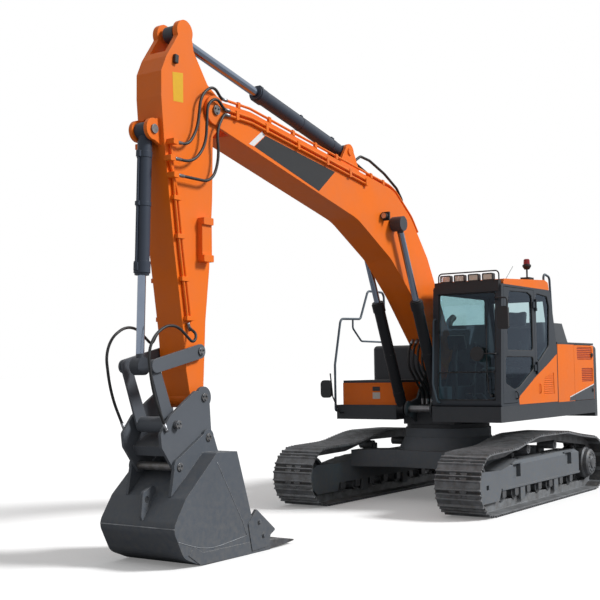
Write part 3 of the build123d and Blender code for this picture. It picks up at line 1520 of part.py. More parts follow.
for name, foot, eye, middles, barrel_r, rod_r, barrel_l, rod_l, eye_r, pin_r, foot_half, rod_half in RAMS:
    reach = hypot(eye[0] - foot[0], eye[1] - foot[1])
    with BuildPart() as barrel:
        for middle in middles:
            axis_plane = ram_plane(foot, eye, middle)
            with BuildSketch(axis_plane.offset(60)):
                Circle(barrel_r - 8)
            extrude(amount=90)
            with BuildSketch(axis_plane.offset(110)):
                Circle(barrel_r)
            extrude(amount=barrel_l - 110)
            with BuildSketch(axis_plane.offset(barrel_l - 130)):
                Circle(barrel_r + 10)
            extrude(amount=110)
            with BuildSketch(axis_plane.offset(PORT_AT)):
                with Locations((0, barrel_r + PIPE)):
                    Circle(11)
            extrude(amount=barrel_l - PORT_AT - 60)
            for place, length in ((PORT_AT - 20, 60), (barrel_l / 2, 40), (barrel_l - 110, 70)):
                with BuildSketch(axis_plane.offset(place)):
                    Circle(barrel_r + 4)
                    with Locations((0, barrel_r + PIPE / 2)):
                        Rectangle(46, 2 * PIPE + 6)
                extrude(amount=length)
            with BuildSketch(axis_plane.offset(130)):
                Circle(rod_r + 0.3)
            extrude(amount=barrel_l, mode=Mode.SUBTRACT)
            with BuildSketch(side_plane(middle)):
                with Locations(foot):
                    Circle(eye_r)
            extrude(amount=foot_half, both=True)
            with BuildSketch(side_plane(middle)):
                with Locations(foot):
                    Circle(pin_r + PIN_GAP)
            extrude(amount=foot_half, both=True, mode=Mode.SUBTRACT)
    finish(name + "_barrel", barrel)
    with BuildPart() as rod:
        for middle in middles:
            axis_plane = ram_plane(foot, eye, middle)
            with BuildSketch(axis_plane.offset(reach - rod_l)):
                Circle(rod_r)
            extrude(amount=rod_l - 20)
            with BuildSketch(side_plane(middle)):
                with Locations(eye):
                    Circle(85 if len(middles) == 1 else 95)
            extrude(amount=rod_half, both=True)
    finish(name + "_rod", rod)

# ---------------------------------------------------------------- links, coupler and bucket
COUPLER_PINS = [(5710.0, 1165.0), (6135.0, 912.0)]
COUPLER_PIN_RADIUS = 40.0

with BuildPart() as guide_links:
    for outside in (GUIDE_LAYER[0] + GUIDE_LAYER[1], -GUIDE_LAYER[0]):
        with BuildSketch(side_plane(outside)):
            with Locations(GUIDE_PIN):
                Circle(70)
            with Locations(LINK_EYE):
                Circle(65)
            make_hull()
            with Locations(GUIDE_PIN):
                Circle(GUIDE_PIN_RADIUS + PIN_GAP, mode=Mode.SUBTRACT)
        extrude(amount=GUIDE_LAYER[1])
finish("guide_links", guide_links)

with BuildPart() as connecting_link:
    for outside in (LINK_LAYER[0] + LINK_LAYER[1], -LINK_LAYER[0]):
        with BuildSketch(side_plane(outside)):
            with Locations(LINK_EYE):
                Circle(62)
            with Locations(HITCH_PIN):
                Circle(75)
            make_hull()
        extrude(amount=LINK_LAYER[1])
    with BuildSketch(side_plane(0)):
        with Locations(HITCH_PIN):
            Circle(75)
    extrude(amount=LINK_LAYER[0] + LINK_LAYER[1], both=True)
    with BuildSketch(side_plane(0)):
        with Locations(HITCH_PIN):
            Circle(COUPLER_PIN_RADIUS + PIN_GAP)
    extrude(amount=LINK_LAYER[0] + LINK_LAYER[1], both=True, mode=Mode.SUBTRACT)
finish("connecting_link", connecting_link)

COUPLER_OUTLINE = [
    (5857, 1617),
    (5655, 1600),
    (5640, 1420),
    (5620, 1165),
    (6135, 832),
    (6345, 1099),
    (6363, 1228),
    (6225, 1390),
]
with BuildPart() as coupler:
    for outside in (COUPLER_LAYER[0] + COUPLER_LAYER[1], -COUPLER_LAYER[0]):
        with BuildSketch(side_plane(outside)):
            with BuildLine():
                FilletPolyline(*COUPLER_OUTLINE, radius=40, close=True)
            make_face()
            with Locations(BUCKET_PIN):
                Circle(105)
            with Locations(BUCKET_PIN):
                Circle(BUCKET_PIN_RADIUS + PIN_GAP, mode=Mode.SUBTRACT)
            with Locations(HITCH_PIN, *COUPLER_PINS):
                Circle(COUPLER_PIN_RADIUS + PIN_GAP, mode=Mode.SUBTRACT)
        extrude(amount=COUPLER_LAYER[1])
    with BuildSketch(side_plane(0)):
        with BuildLine():
            Polyline((5800, 1330), (6230, 1100), (6180, 1010), (5750, 1260), close=True)
        make_face()
    extrude(amount=COUPLER_LAYER[0] + 2, both=True)
finish("coupler", coupler)

BUCKET_HALF = 465.0
BUCKET_SKIN = 22.0
BUCKET_OUTLINE = [  # x, z, radius
    (5490, 1022, 10),
    (5800, 1028, 60),
    (6262, 636, 100),
    (6440, 380, 120),
    (6290, 100, 160),
    (6040, 1, 200),
    (4960, 1, 10),
    (4960, 36, 10),
    (5200, 60, 40),
    (5250, 330, 40),
]
BUCKET_INSIDE = [
    (5400, 1000, 10),
    (5790, 1006, 60),
    (6245, 620, 100),
    (6415, 375, 120),
    (6275, 118, 160),
    (6038, 26, 200),
    (4900, 38, 10),
    (4900, 400, 10),
]
BUCKET_EAR = [
    (5560, 1015),
    (5625, 1165),
    (5710, 1240),
    (6190, 970),
    (6215, 880),
    (6262, 645),
    (5800, 1018),
]
WEAR_STRIP = [(5300, 2), (5300, 120), (6020, 120), (6150, 190), (6230, 120), (6060, 10)]
LIFTING_EYE = [(6215, 660, 5), (6230, 760, 40), (6400, 690, 40), (6425, 470, 40), (6380, 380, 5)]
CUTTER_OUTLINE = [(5193, 429), (4874, 192), (4961, 150), (4990, 40), (5266, 27), (5330, 300)]
TEETH_COUNT = 5
TOOTH_PITCH = 2 * (BUCKET_HALF - 50) / (TEETH_COUNT - 1)
TEETH_Y = [(i - (TEETH_COUNT - 1) / 2) * TOOTH_PITCH for i in range(TEETH_COUNT)]
with BuildPart() as bucket:
    with BuildSketch(side_plane(0)):
        with BuildLine():
            rounded(BUCKET_OUTLINE)
        make_face()
    extrude(amount=BUCKET_HALF, both=True)
    with BuildSketch(side_plane(0)):
        with BuildLine():
            rounded(BUCKET_INSIDE)
        make_face()
    extrude(amount=BUCKET_HALF - BUCKET_SKIN, both=True, mode=Mode.SUBTRACT)
    for outside in (EAR_LAYER[0] + EAR_LAYER[1], -EAR_LAYER[0]):
        with BuildSketch(side_plane(outside)):
            with BuildLine():
                Polyline(*BUCKET_EAR, close=True)
            make_face()
            with Locations(*COUPLER_PINS):
                Circle(80)
            with Locations(*COUPLER_PINS):
                Circle(COUPLER_PIN_RADIUS + PIN_GAP, mode=Mode.SUBTRACT)
        extrude(amount=EAR_LAYER[1])
    for outside in (BUCKET_HALF + 8, -BUCKET_HALF + 22):
        with BuildSketch(side_plane(outside)):
            with BuildLine():
                FilletPolyline(*CUTTER_OUTLINE, radius=12, close=True)
            make_face()
            with Locations((5080, 160), (5150, 300)):
                Circle(14, mode=Mode.SUBTRACT)
        extrude(amount=30)
    for outside in (BUCKET_HALF + 6, -BUCKET_HALF + 10):
        with BuildSketch(side_plane(outside)):
            with BuildLine():
                Polyline(*WEAR_STRIP, close=True)
            make_face()
        extrude(amount=16)
    for middle in TEETH_Y:
        with BuildSketch(side_plane(middle + 52)):
            with BuildLine():
                Polyline((4960, 2), (4960, 96), (5040, 96), (5150, 50), (5150, 2), close=True)
            make_face()
        extrude(amount=104)
    with BuildSketch(side_plane(50 + 15)):
        with BuildLine():
            rounded(LIFTING_EYE)
        make_face()
        with Locations((6345, 620)):
            Circle(32, mode=Mode.SUBTRACT)
    extrude(amount=30)
finish("bucket", bucket)

with BuildPart() as bucket_teeth:
    for y in TEETH_Y:
        with BuildSketch(Plane.YZ.offset(4959.5)):
            with Locations((y, 50)):
                Rectangle(90, 90)
        with BuildSketch(Plane.YZ.offset(4700)):
            with Locations((y, 48)):
                Rectangle(80, 60)
        with BuildSketch(Plane.YZ.offset(4520)):
            with Locations((y, 38)):
                Rectangle(66, 14)
        loft(ruled=True)
finish("bucket_teeth", bucket_teeth)

# ---------------------------------------------------------------- pins
PINS = {  # node: (place, radius, half length) of each of its pins
    "upper_pins": (
        (BOOM_FOOT, FOOT_PIN_RADIUS, BRACKET_OUTER + 12),
        (LIFT_FOOT, LIFT_PIN_RADIUS, LIFT_Y + 70),
    ),
    "arm_pin": ((BOOM_TIP, BOOM_PIN_RADIUS, BOOM_HALF_WIDTH + 20),),
    "arm_link_pins": (
        (GUIDE_PIN, GUIDE_PIN_RADIUS, sum(GUIDE_LAYER) + 15),
        (CURL_HEAD, CURL_PIN_RADIUS, EAR_GAP + 55),
    ),
    "bucket_pins": (
        (BUCKET_PIN, BUCKET_PIN_RADIUS, sum(COUPLER_LAYER) + 15),
        (HITCH_PIN, COUPLER_PIN_RADIUS, sum(EAR_LAYER) + 10),
        (COUPLER_PINS[0], COUPLER_PIN_RADIUS, sum(EAR_LAYER) + 10),
        (COUPLER_PINS[1], COUPLER_PIN_RADIUS, sum(EAR_LAYER) + 10),
    ),
}
for name, pieces in PINS.items():
    with BuildPart() as pins:
        for place, radius, half in pieces:
            with BuildSketch(side_plane(0)):
                with Locations(place):
                    Circle(radius)
            extrude(amount=half, both=True)
    finish(name, pins)
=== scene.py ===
import math

import bmesh
import bpy
from mathutils import Matrix, Vector


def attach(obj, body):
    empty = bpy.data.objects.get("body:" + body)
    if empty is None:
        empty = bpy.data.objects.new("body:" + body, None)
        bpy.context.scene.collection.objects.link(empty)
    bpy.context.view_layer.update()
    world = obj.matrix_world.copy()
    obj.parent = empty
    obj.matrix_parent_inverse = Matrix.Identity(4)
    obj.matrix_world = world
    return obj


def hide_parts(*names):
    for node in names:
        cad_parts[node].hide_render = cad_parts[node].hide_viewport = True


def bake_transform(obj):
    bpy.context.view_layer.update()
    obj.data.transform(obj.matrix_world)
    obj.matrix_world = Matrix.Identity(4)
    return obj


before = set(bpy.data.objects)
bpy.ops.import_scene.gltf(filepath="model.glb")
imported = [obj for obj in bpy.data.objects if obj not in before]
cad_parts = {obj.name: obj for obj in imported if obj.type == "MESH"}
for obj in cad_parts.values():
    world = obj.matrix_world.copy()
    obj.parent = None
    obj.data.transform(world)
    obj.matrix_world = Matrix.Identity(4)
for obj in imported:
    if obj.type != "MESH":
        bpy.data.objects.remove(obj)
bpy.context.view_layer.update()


# ---- Studio ------------------------------------------------------------------
# A plain pale floor without an edge, a soft sun from the machine's left rear and a
# white surround. The camera stands low in front of the machine's left side.
def linear(code):
    """An sRGB hex colour as the linear numbers that a shader takes."""
    parts = [int(code[i : i + 2], 16) / 255 for i in (1, 3, 5)]
    return [c / 12.92 if c <= 0.04045 else ((c + 0.055) / 1.055) ** 2.4 for c in parts] + [1.0]


def add(tree, kind, inputs=(), **settings):
    """Add a node, with its settings, and with its inputs as values or as links."""
    node = tree.nodes.new("ShaderNode" + kind)
    for name, value in settings.items():
        setattr(node, name, value)
    for name, value in dict(inputs).items():
        if isinstance(value, bpy.types.NodeSocket):
            tree.links.new(value, node.inputs[name])
        else:
            node.inputs[name].default_value = value
    return node


def new_material(name):
    """An empty material and its node tree."""
    material = bpy.data.materials.new(name)
    material.use_nodes = True
    material.node_tree.nodes.clear()
    return material, material.node_tree


scene = bpy.context.scene
scene.view_settings.view_transform = "Standard"

world = bpy.data.worlds.new("studio")
world.use_nodes = True
tree = world.node_tree
tree.nodes.clear()
rays = add(tree, "LightPath")
direct, past_glass = rays.outputs["Is Camera Ray"], rays.outputs["Is Transmission Ray"]
seen = add(tree, "Math", {0: direct, 1: past_glass}, operation="MAXIMUM")
mirrored = add(tree, "Math", {0: rays.outputs["Is Glossy Ray"], 1: 0.45}, operation="MULTIPLY")
seen = add(tree, "Math", {0: seen.outputs[0], 1: mirrored.outputs[0]}, operation="MAXIMUM")
level = add(tree, "MapRange", {"Value": seen.outputs[0], "To Min": 0.42, "To Max": 1.0})
surround = add(tree, "Background", {"Color": linear("#FFFFFF"), "Strength": level.outputs[0]})
add(tree, "OutputWorld", {"Surface": surround.outputs[0]})
scene.world = world

sun = bpy.data.lights.new("key", "SUN")
sun.energy = 3.1
sun.angle = math.radians(14)
lamp = bpy.data.objects.new("key", sun)
lamp.rotation_euler = Vector((-0.42, 0.85, 0.75)).to_track_quat("Z", "Y").to_euler()
scene.collection.objects.link(lamp)

bm = bmesh.new()
bmesh.ops.create_grid(bm, x_segments=1, y_segments=1, size=400)
floor_mesh = bpy.data.meshes.new("floor")
bm.to_mesh(floor_mesh)
bm.free()
floor = bpy.data.objects.new("floor", floor_mesh)
scene.collection.objects.link(floor)
material, tree = new_material("studio_floor")
rays = add(tree, "LightPath")
direct, past_glass = rays.outputs["Is Camera Ray"], rays.outputs["Is Transmission Ray"]
seen = add(tree, "Math", {0: direct, 1: past_glass}, operation="MAXIMUM")
lift = add(tree, "Math", {0: seen.outputs[0], 1: 0.16}, operation="MULTIPLY")
bounce = add(tree, "Mix", {0: seen.outputs[0], 6: linear("#8E8E90"), 7: linear("#F6F6F6")}, data_type="RGBA")
matt = add(tree, "BsdfDiffuse", {"Color": bounce.outputs[2]})
glow = add(tree, "Emission", {"Color": linear("#FFFFFF"), "Strength": lift.outputs[0]})
both = add(tree, "AddShader", {0: matt.outputs[0], 1: glow.outputs[0]})
add(tree, "OutputMaterial", {"Surface": both.outputs[0]})
floor_mesh.materials.append(material)

camera_data = bpy.data.cameras.new("camera")
camera_data.lens = 64.59
camera_data.sensor_width = 36
camera_data.clip_end = 900
camera = bpy.data.objects.new("camera", camera_data)
yaw, pitch, roll = (math.radians(a) for a in (-145.6047, 3.8315, -0.7899))
ahead = Vector((math.cos(pitch) * math.cos(yaw), math.cos(pitch) * math.sin(yaw), math.sin(pitch)))
right = Vector((math.sin(yaw), -math.cos(yaw), 0))
above = right.cross(ahead)
turned_right = math.cos(roll) * right + math.sin(roll) * above
turned_above = -math.sin(roll) * right + math.cos(roll) * above
camera.matrix_world = Matrix.Translation((13.8718, 6.9731, 1.7839)) @ Matrix(
    (turned_right, turned_above, -ahead)
).transposed().to_4x4()
scene.collection.objects.link(camera)
scene.camera = camera


# ---- Painted steel -----------------------------------------------------------
# Rolled plate and castings under sprayed two-pack paint: a little orange peel, cloudy
# where it has faded, rubbed thin along the edges and dusty where dust can lie.
def coat(name, colour, bare, gloss, dust, wear=0.25, peel=1.0, clear=0.0):
    """A paint in this colour: how rough it dries, how dusty and how rubbed it is."""
    material, tree = new_material(name)
    place = add(tree, "TexCoord")
    # fading in clouds about 600 mm across, and grime in spots about 60 mm across
    clouds = add(
        tree, "TexNoise", {"Vector": place.outputs["Object"], "Scale": 1.7, "Detail": 5.0, "Roughness": 0.6}
    )
    grime = add(
        tree, "TexNoise", {"Vector": place.outputs["Object"], "Scale": 17.0, "Detail": 6.0, "Roughness": 0.65}
    )
    faded = add(
        tree, "HueSaturation", {"Color": linear(colour), "Saturation": 0.97, "Value": 0.90, "Fac": 1.0}
    )
    tint = add(tree, "MapRange", {"Value": clouds.outputs["Fac"], "From Min": 0.35, "From Max": 0.7})
    paint = add(tree, "Mix", {0: tint.outputs[0], 6: linear(colour), 7: faded.outputs[0]}, data_type="RGBA")
    # rubbed edges: where a 6 mm rounded edge would turn away from the flat one
    flat = add(tree, "NewGeometry")
    soft = add(tree, "Bevel", {"Radius": 0.006}, samples=4)
    turn = add(tree, "VectorMath", {0: flat.outputs["Normal"], 1: soft.outputs[0]}, operation="DOT_PRODUCT")
    scratch = add(tree, "TexNoise", {"Vector": place.outputs["Object"], "Scale": 60.0, "Detail": 4.0})
    edge = add(tree, "MapRange", {"Value": turn.outputs["Value"], "From Min": 0.985, "From Max": 0.90})
    spots = add(
        tree, "MapRange", {"Value": scratch.outputs["Fac"], "From Min": 0.62 - wear * 0.3, "From Max": 0.66}
    )
    rubbed = add(tree, "Math", {0: edge.outputs[0], 1: spots.outputs[0]}, operation="MULTIPLY")
    rubbed = add(tree, "Math", {0: rubbed.outputs[0], 1: min(1.0, wear * 2)}, operation="MULTIPLY")
    worn = add(tree, "Mix", {0: rubbed.outputs[0], 6: paint.outputs[2], 7: linear(bare)}, data_type="RGBA")
    # dust lies low down and on what faces up
    where = add(tree, "SeparateXYZ", {0: place.outputs["Object"]})
    faces = add(tree, "SeparateXYZ", {0: place.outputs["Normal"]})
    low = add(
        tree, "MapRange", {"Value": where.outputs["Z"], "From Min": 1.3, "From Max": 0.0, "To Max": 0.8}
    )
    top = add(
        tree, "MapRange", {"Value": faces.outputs["Z"], "From Min": 0.3, "From Max": 1.0, "To Max": 0.8}
    )
    most = add(tree, "Math", {0: low.outputs[0], 1: top.outputs[0]}, operation="MAXIMUM")
    patch = add(tree, "MapRange", {"Value": grime.outputs["Fac"], "From Min": 0.36, "From Max": 0.70})
    lying = add(tree, "Math", {0: most.outputs[0], 1: patch.outputs[0]}, operation="MULTIPLY")
    lying = add(tree, "Math", {0: lying.outputs[0], 1: dust}, operation="MULTIPLY")
    dusty = add(
        tree, "Mix", {0: lying.outputs[0], 6: worn.outputs[2], 7: linear("#8C857A")}, data_type="RGBA"
    )
    rough = add(
        tree, "MapRange", {"Value": grime.outputs["Fac"], "To Min": gloss - 0.08, "To Max": gloss + 0.14}
    )
    rough = add(tree, "Math", {0: rough.outputs[0], 1: lying.outputs[0]}, operation="ADD", use_clamp=True)
    # orange peel about 3 mm across
    peeling = add(tree, "TexNoise", {"Vector": place.outputs["Object"], "Scale": 330.0, "Detail": 2.0})
    skin = add(
        tree,
        "Bump",
        {
            "Height": peeling.outputs["Fac"],
            "Strength": 0.10 * peel,
            "Distance": 0.001,
            "Normal": soft.outputs[0],
        },
    )
    surface = add(
        tree,
        "BsdfPrincipled",
        {
            "Base Color": dusty.outputs[2],
            "Roughness": rough.outputs[0],
            "Normal": skin.outputs[0],
            "Specular IOR Level": 0.25,
            "Coat Weight": clear,
            "Coat Roughness": 0.12,
        },
    )
    add(tree, "OutputMaterial", {"Surface": surface.outputs[0]})
    return material


def dress(material, *names):
    """Give CAD nodes this material."""
    for name in names:
        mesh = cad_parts[name].data
        mesh.materials.clear()
        mesh.materials.append(material)


body_orange = coat("gloss_orange_paint", "#F4740A", "#9A5A30", 0.44, 0.22, wear=0.12, clear=0.04)
deck_grey = coat("satin_deck_grey_paint", "#43474C", "#77777A", 0.48, 0.50, wear=0.3)
cab_grey = coat("satin_cab_grey_paint", "#3A4047", "#6E6F72", 0.42, 0.35, wear=0.15)
rail_grey = coat("handrail_blue_grey_paint", "#56636E", "#8A8C8E", 0.42, 0.25, wear=0.3)
chassis_grey = coat("chassis_grey_paint", "#666D75", "#8A8886", 0.55, 0.60, wear=0.6)
link_grey = coat("dark_grey_cast_paint", "#5C6168", "#8D8B88", 0.48, 0.40, wear=0.7, peel=3.0)
bucket_grey = coat("bucket_grey_paint", "#565C64", "#9A9895", 0.44, 0.35, wear=0.8)
ram_black = coat("cylinder_black_paint", "#26282C", "#6A6A6C", 0.40, 0.40, wear=0.3)
ram_blue_grey = coat("cylinder_dark_paint", "#3D4552", "#74767A", 0.38, 0.45, wear=0.3)
weight_grey = coat("counterweight_grey_paint", "#4B4F54", "#77777A", 0.50, 0.45, wear=0.2, peel=4.0)

dress(body_orange, "side_panels", "service_door_left", "service_door_right", "cab_roof", "cab_side_cover")
dress(body_orange, "boom", "crowd_bracket", "arm", "storage_box", "boom_pipes", "arm_pipes")
dress(deck_grey, "revolving_frame", "body_frame", "engine_hood", "storage_lid", "fuel_tank", "valve_cover")
dress(cab_grey, "cab_shell", "cab_door")
dress(rail_grey, "handrails")
dress(chassis_grey, "car_body", "slewing_ring", "side_frame_left", "side_frame_right")
dress(link_grey, "guide_links", "connecting_link", "coupler", "engine_block")
dress(bucket_grey, "bucket")
dress(weight_grey, "counterweight")
dress(ram_black, "boom_cylinder_barrel")
dress(ram_blue_grey, "arm_cylinder_barrel", "bucket_cylinder_barrel")


# ---- Worn and machined steel -------------------------------------------------
# Rolled shoe plate, cast teeth and wheels, turned pins: no paint left where they rub,
# brown-grey mill scale and dried soil elsewhere, and lighter along every edge, hollow
# ones too: partly rubbed bright, partly a painted highlight.
def steel(name, colour, scale_colour, rough, grain, metal, soil):
    """Bare steel with mill scale and dried soil on it, its grain this many mm across."""
    material, tree = new_material(name)
    place = add(tree, "TexCoord")
    blotch = add(
        tree, "TexNoise", {"Vector": place.outputs["Object"], "Scale": 9.0, "Detail": 7.0, "Roughness": 0.65}
    )
    share = add(tree, "MapRange", {"Value": blotch.outputs["Fac"], "From Min": 0.36, "From Max": 0.64})
    mixed = add(
        tree, "Mix", {0: share.outputs[0], 6: linear(colour), 7: linear(scale_colour)}, data_type="RGBA"
    )
    dirt = add(
        tree, "TexNoise", {"Vector": place.outputs["Object"], "Scale": 26.0, "Detail": 8.0, "Roughness": 0.7}
    )
    spread = {"Value": dirt.outputs["Fac"], "From Min": 0.5, "From Max": 0.72, "To Max": soil}
    dirt_share = add(tree, "MapRange", spread)
    dirty = add(
        tree, "Mix", {0: dirt_share.outputs[0], 6: mixed.outputs[2], 7: linear("#857B6D")}, data_type="RGBA"
    )
    fine = add(tree, "TexNoise", {"Vector": place.outputs["Object"], "Scale": 1000 / grain, "Detail": 3.0})
    soft = add(tree, "Bevel", {"Radius": 0.004}, samples=4)
    skin = add(
        tree,
        "Bump",
        {"Height": fine.outputs["Fac"], "Strength": 0.25, "Distance": 0.001, "Normal": soft.outputs[0]},
    )
    roughness = add(
        tree, "MapRange", {"Value": dirt.outputs["Fac"], "To Min": rough - 0.1, "To Max": rough + 0.2}
    )
    shine = add(tree, "MapRange", {"Value": dirt_share.outputs[0], "To Min": metal, "To Max": 0.0})
    # lighter along every edge, hollow ones too: partly rubbed bright, partly a painted highlight
    flat = add(tree, "NewGeometry")
    turn = add(tree, "VectorMath", {0: flat.outputs["Normal"], 1: soft.outputs[0]}, operation="DOT_PRODUCT")
    edge = add(
        tree, "MapRange", {"Value": turn.outputs["Value"], "From Min": 0.99, "From Max": 0.90, "To Max": 0.7}
    )
    rubbed = add(
        tree, "Mix", {0: edge.outputs[0], 6: dirty.outputs[2], 7: linear("#B4B7BB")}, data_type="RGBA"
    )
    surface = add(
        tree,
        "BsdfPrincipled",
        {
            "Base Color": rubbed.outputs[2],
            "Metallic": shine.outputs[0],
            "Roughness": roughness.outputs[0],
            "Normal": skin.outputs[0],
        },
    )
    add(tree, "OutputMaterial", {"Surface": surface.outputs[0]})
    return material


shoe_steel = steel("rolled_shoe_steel", "#85898D", "#67686A", 0.50, 4.0, 0.35, 0.45)
cast_steel = steel("cast_wheel_steel", "#64686D", "#525355", 0.50, 3.0, 0.30, 0.5)
tooth_steel = steel("cast_tooth_steel", "#63656A", "#4E4D4C", 0.45, 3.0, 0.40, 0.5)
pin_steel = steel("turned_pin_steel", "#8B8D91", "#6C6A68", 0.38, 1.5, 0.75, 0.3)
dress(shoe_steel, "track_left", "track_right")
dress(cast_steel, "idlers", "track_rollers", "carrier_rollers", "final_drives")
dress(tooth_steel, "bucket_teeth")
dress(pin_steel, "upper_pins", "arm_pin", "arm_link_pins", "bucket_pins")


# ---- Ram rods ----------------------------------------------------------------
# Hard chrome, ground and bright, as far as the cast eye at the end, which is painted
# dark: the finish changes 120 mm from the eye's middle.
for name, x, z in (
    ("boom_cylinder_rod", 1.850, 3.660),
    ("arm_cylinder_rod", 5.870, 5.160),
    ("bucket_cylinder_rod", 6.365, 1.860),
):
    material, tree = new_material(name + "_chrome_and_paint")
    place = add(tree, "TexCoord")
    # the distance from the eye's middle, seen from the side
    flat = add(tree, "VectorMath", {0: place.outputs["Object"], 1: (1, 0, 1)}, operation="MULTIPLY")
    away = add(tree, "VectorMath", {0: flat.outputs[0], 1: (x, 0, z)}, operation="DISTANCE")
    rod = add(tree, "MapRange", {"Value": away.outputs["Value"], "From Min": 0.118, "From Max": 0.122})
    film = add(tree, "TexNoise", {"Vector": place.outputs["Object"], "Scale": 9.0, "Detail": 5.0})
    grind = add(tree, "TexNoise", {"Vector": place.outputs["Object"], "Scale": 1200.0, "Detail": 2.0})
    bright = add(
        tree, "Mix", {0: film.outputs["Fac"], 6: linear("#A3AEC0"), 7: linear("#93A0B4")}, data_type="RGBA"
    )
    paint = add(
        tree, "Mix", {0: film.outputs["Fac"], 6: linear("#2F343B"), 7: linear("#434850")}, data_type="RGBA"
    )
    shade = add(tree, "Mix", {0: rod.outputs[0], 6: paint.outputs[2], 7: bright.outputs[2]}, data_type="RGBA")
    rough = add(tree, "MapRange", {"Value": film.outputs["Fac"], "To Min": 0.14, "To Max": 0.26})
    rough = add(tree, "MapRange", {"Value": rod.outputs[0], "To Min": 0.5, "To Max": rough.outputs[0]})
    skin = add(tree, "Bump", {"Height": grind.outputs["Fac"], "Strength": 0.1, "Distance": 0.0004})
    surface = add(
        tree,
        "BsdfPrincipled",
        {
            "Base Color": shade.outputs[2],
            "Metallic": rod.outputs[0],
            "Roughness": rough.outputs[0],
            "Normal": skin.outputs[0],
        },
    )
    add(tree, "OutputMaterial", {"Surface": surface.outputs[0]})
    dress(material, name)


# ---- Shoe plates -------------------------------------------------------------
# The rolled flat plate of every track shoe, which closes the track round the idler and
# the sprocket, the bolts that hold it to the link rails, and the bright worn crowns of
# its three grousers. The pins' line is walked in equal steps, one to a shoe.
def piece(name, bm, material, body):
    """Make the mesh a piece of this material that rides on a body."""
    bmesh.ops.recalc_face_normals(bm, faces=bm.faces)
    mesh = bpy.data.meshes.new(name)
    bm.to_mesh(mesh)
    bm.free()
    mesh.materials.append(material)
    made = bpy.data.objects.new(name, mesh)
    scene.collection.objects.link(made)
    if body:
        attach(made, body)
    return made


def prism(bm, corners, depth, bevel=0.0):
    """Add a flat plate with these corners, this thick, its edges rounded by bevel."""
    face = bm.faces.new([bm.verts.new(corner) for corner in corners])
    grown = bmesh.ops.extrude_face_region(bm, geom=[face])
    moved = [part for part in grown["geom"] if isinstance(part, bmesh.types.BMVert)]
    bmesh.ops.translate(bm, verts=moved, vec=depth)
    if bevel:
        edges = list({edge for vert in [*face.verts, *moved] for edge in vert.link_edges})
        bmesh.ops.bevel(bm, geom=edges, offset=bevel, segments=2, profile=0.5, affect="EDGES", material=-1)


def plate(middle, across, along):
    """The four corners of a rectangle, from its middle and two half sides."""
    middle, across, along = Vector(middle), Vector(across), Vector(along)
    return [middle + across * a + along * b for a, b in ((-1, -1), (1, -1), (1, 1), (-1, 1))]


def disc(bm, middle, axis, radius, thick, sides=24):
    """Add a flat round or many-sided piece centred here, its flat faces across the axis."""
    turn = Vector(axis).to_track_quat("Z", "Y").to_matrix().to_4x4()
    place = Matrix.Translation(middle) @ turn
    bmesh.ops.create_cone(
        bm, cap_ends=True, segments=sides, radius1=radius, radius2=radius * 0.94, depth=thick, matrix=place
    )


PITCH_RADIUS = 0.310
AXLE = 0.394
TUMBLER_X = 1.825
TOP_LINE = [(1.030, 0.722), (0.650, 0.790), (0.310, 0.842), (-0.700, 0.836), (-1.210, 0.768)]
SHOES = 49
line = [Vector((-TUMBLER_X, 0, AXLE - PITCH_RADIUS))]
for middle, first, last, run in ((TUMBLER_X, -90, 91, TOP_LINE), (-TUMBLER_X, 90, 270, [])):
    for turn in range(first, last, 20):
        angle = math.radians(turn)
        reach = PITCH_RADIUS * Vector((math.cos(angle), 0, math.sin(angle)))
        line.append(Vector((middle, 0, AXLE)) + reach)
    line += [Vector((x, 0, z)) for x, z in run]
line.append(line[0])
pitch = sum((end - start).length for start, end in zip(line, line[1:])) / SHOES
pins = []
walked = 0.0
for start, end in zip(line, line[1:]):
    while len(pins) < SHOES and len(pins) * pitch < walked + (end - start).length - 1e-9:
        pins.append(start.lerp(end, (len(pins) * pitch - walked) / (end - start).length))
    walked += (end - start).length
crown_steel = steel("worn_grouser_crown", "#A2A5A9", "#7F8184", 0.40, 3.0, 0.5, 0.3)
plate_steel = steel("soiled_shoe_plate", "#4A4C4F", "#3A3A3B", 0.65, 4.0, 0.15, 0.5)
# places along a shoe are shares of the pitch, and heights are over the pins' line
PLATE_ENDS = (0.07, 0.90)
PLATE_FOOT, PLATE_THICK = 0.0465, 0.011
BOLT_ROWS, BOLTS_ACROSS, BOLT_HEIGHT = (0.32, 0.64), (-0.105, -0.035, 0.035, 0.105), 0.062
GROUSERS = ((0.16, 0.0066), (0.48, 0.0045), (0.80, 0.0066))  # place, half its thickness
CROWN_FOOT, CROWN_THICK = 0.0785, 0.0053
for side, y in (("left", 1.195), ("right", -1.195)):
    bm = bmesh.new()
    bolts = bmesh.new()
    crowns = bmesh.new()
    for pin, following in zip(pins, [*pins[1:], pins[0]]):
        ahead = (following - pin).normalized()
        out = Vector((ahead.z, 0, -ahead.x))
        low = pin + out * PLATE_FOOT + Vector((0, y - 0.2995, 0))
        corners = [low + ahead * pitch * share for share in PLATE_ENDS]
        corners += [corner + out * PLATE_THICK for corner in reversed(corners)]
        prism(bm, corners, (0, 0.599, 0))
        for share in BOLT_ROWS:
            for across in BOLTS_ACROSS:
                middle = pin + ahead * pitch * share + out * BOLT_HEIGHT + Vector((0, y + across, 0))
                disc(bolts, middle, out, 0.011, 0.010, 6)
        for share, half in GROUSERS:
            foot = pin + ahead * (pitch * share - half) + out * CROWN_FOOT + Vector((0, y - 0.2985, 0))
            corners = [foot, foot + ahead * 2 * half]
            corners += [corner + out * CROWN_THICK for corner in reversed(corners)]
            prism(crowns, corners, (0, 0.597, 0))
    piece("shoe_plates_" + side, bm, plate_steel, "undercarriage")
    piece("shoe_bolts_" + side, bolts, pin_steel, "undercarriage")
    piece("grouser_crowns_" + side, crowns, crown_steel, "undercarriage")


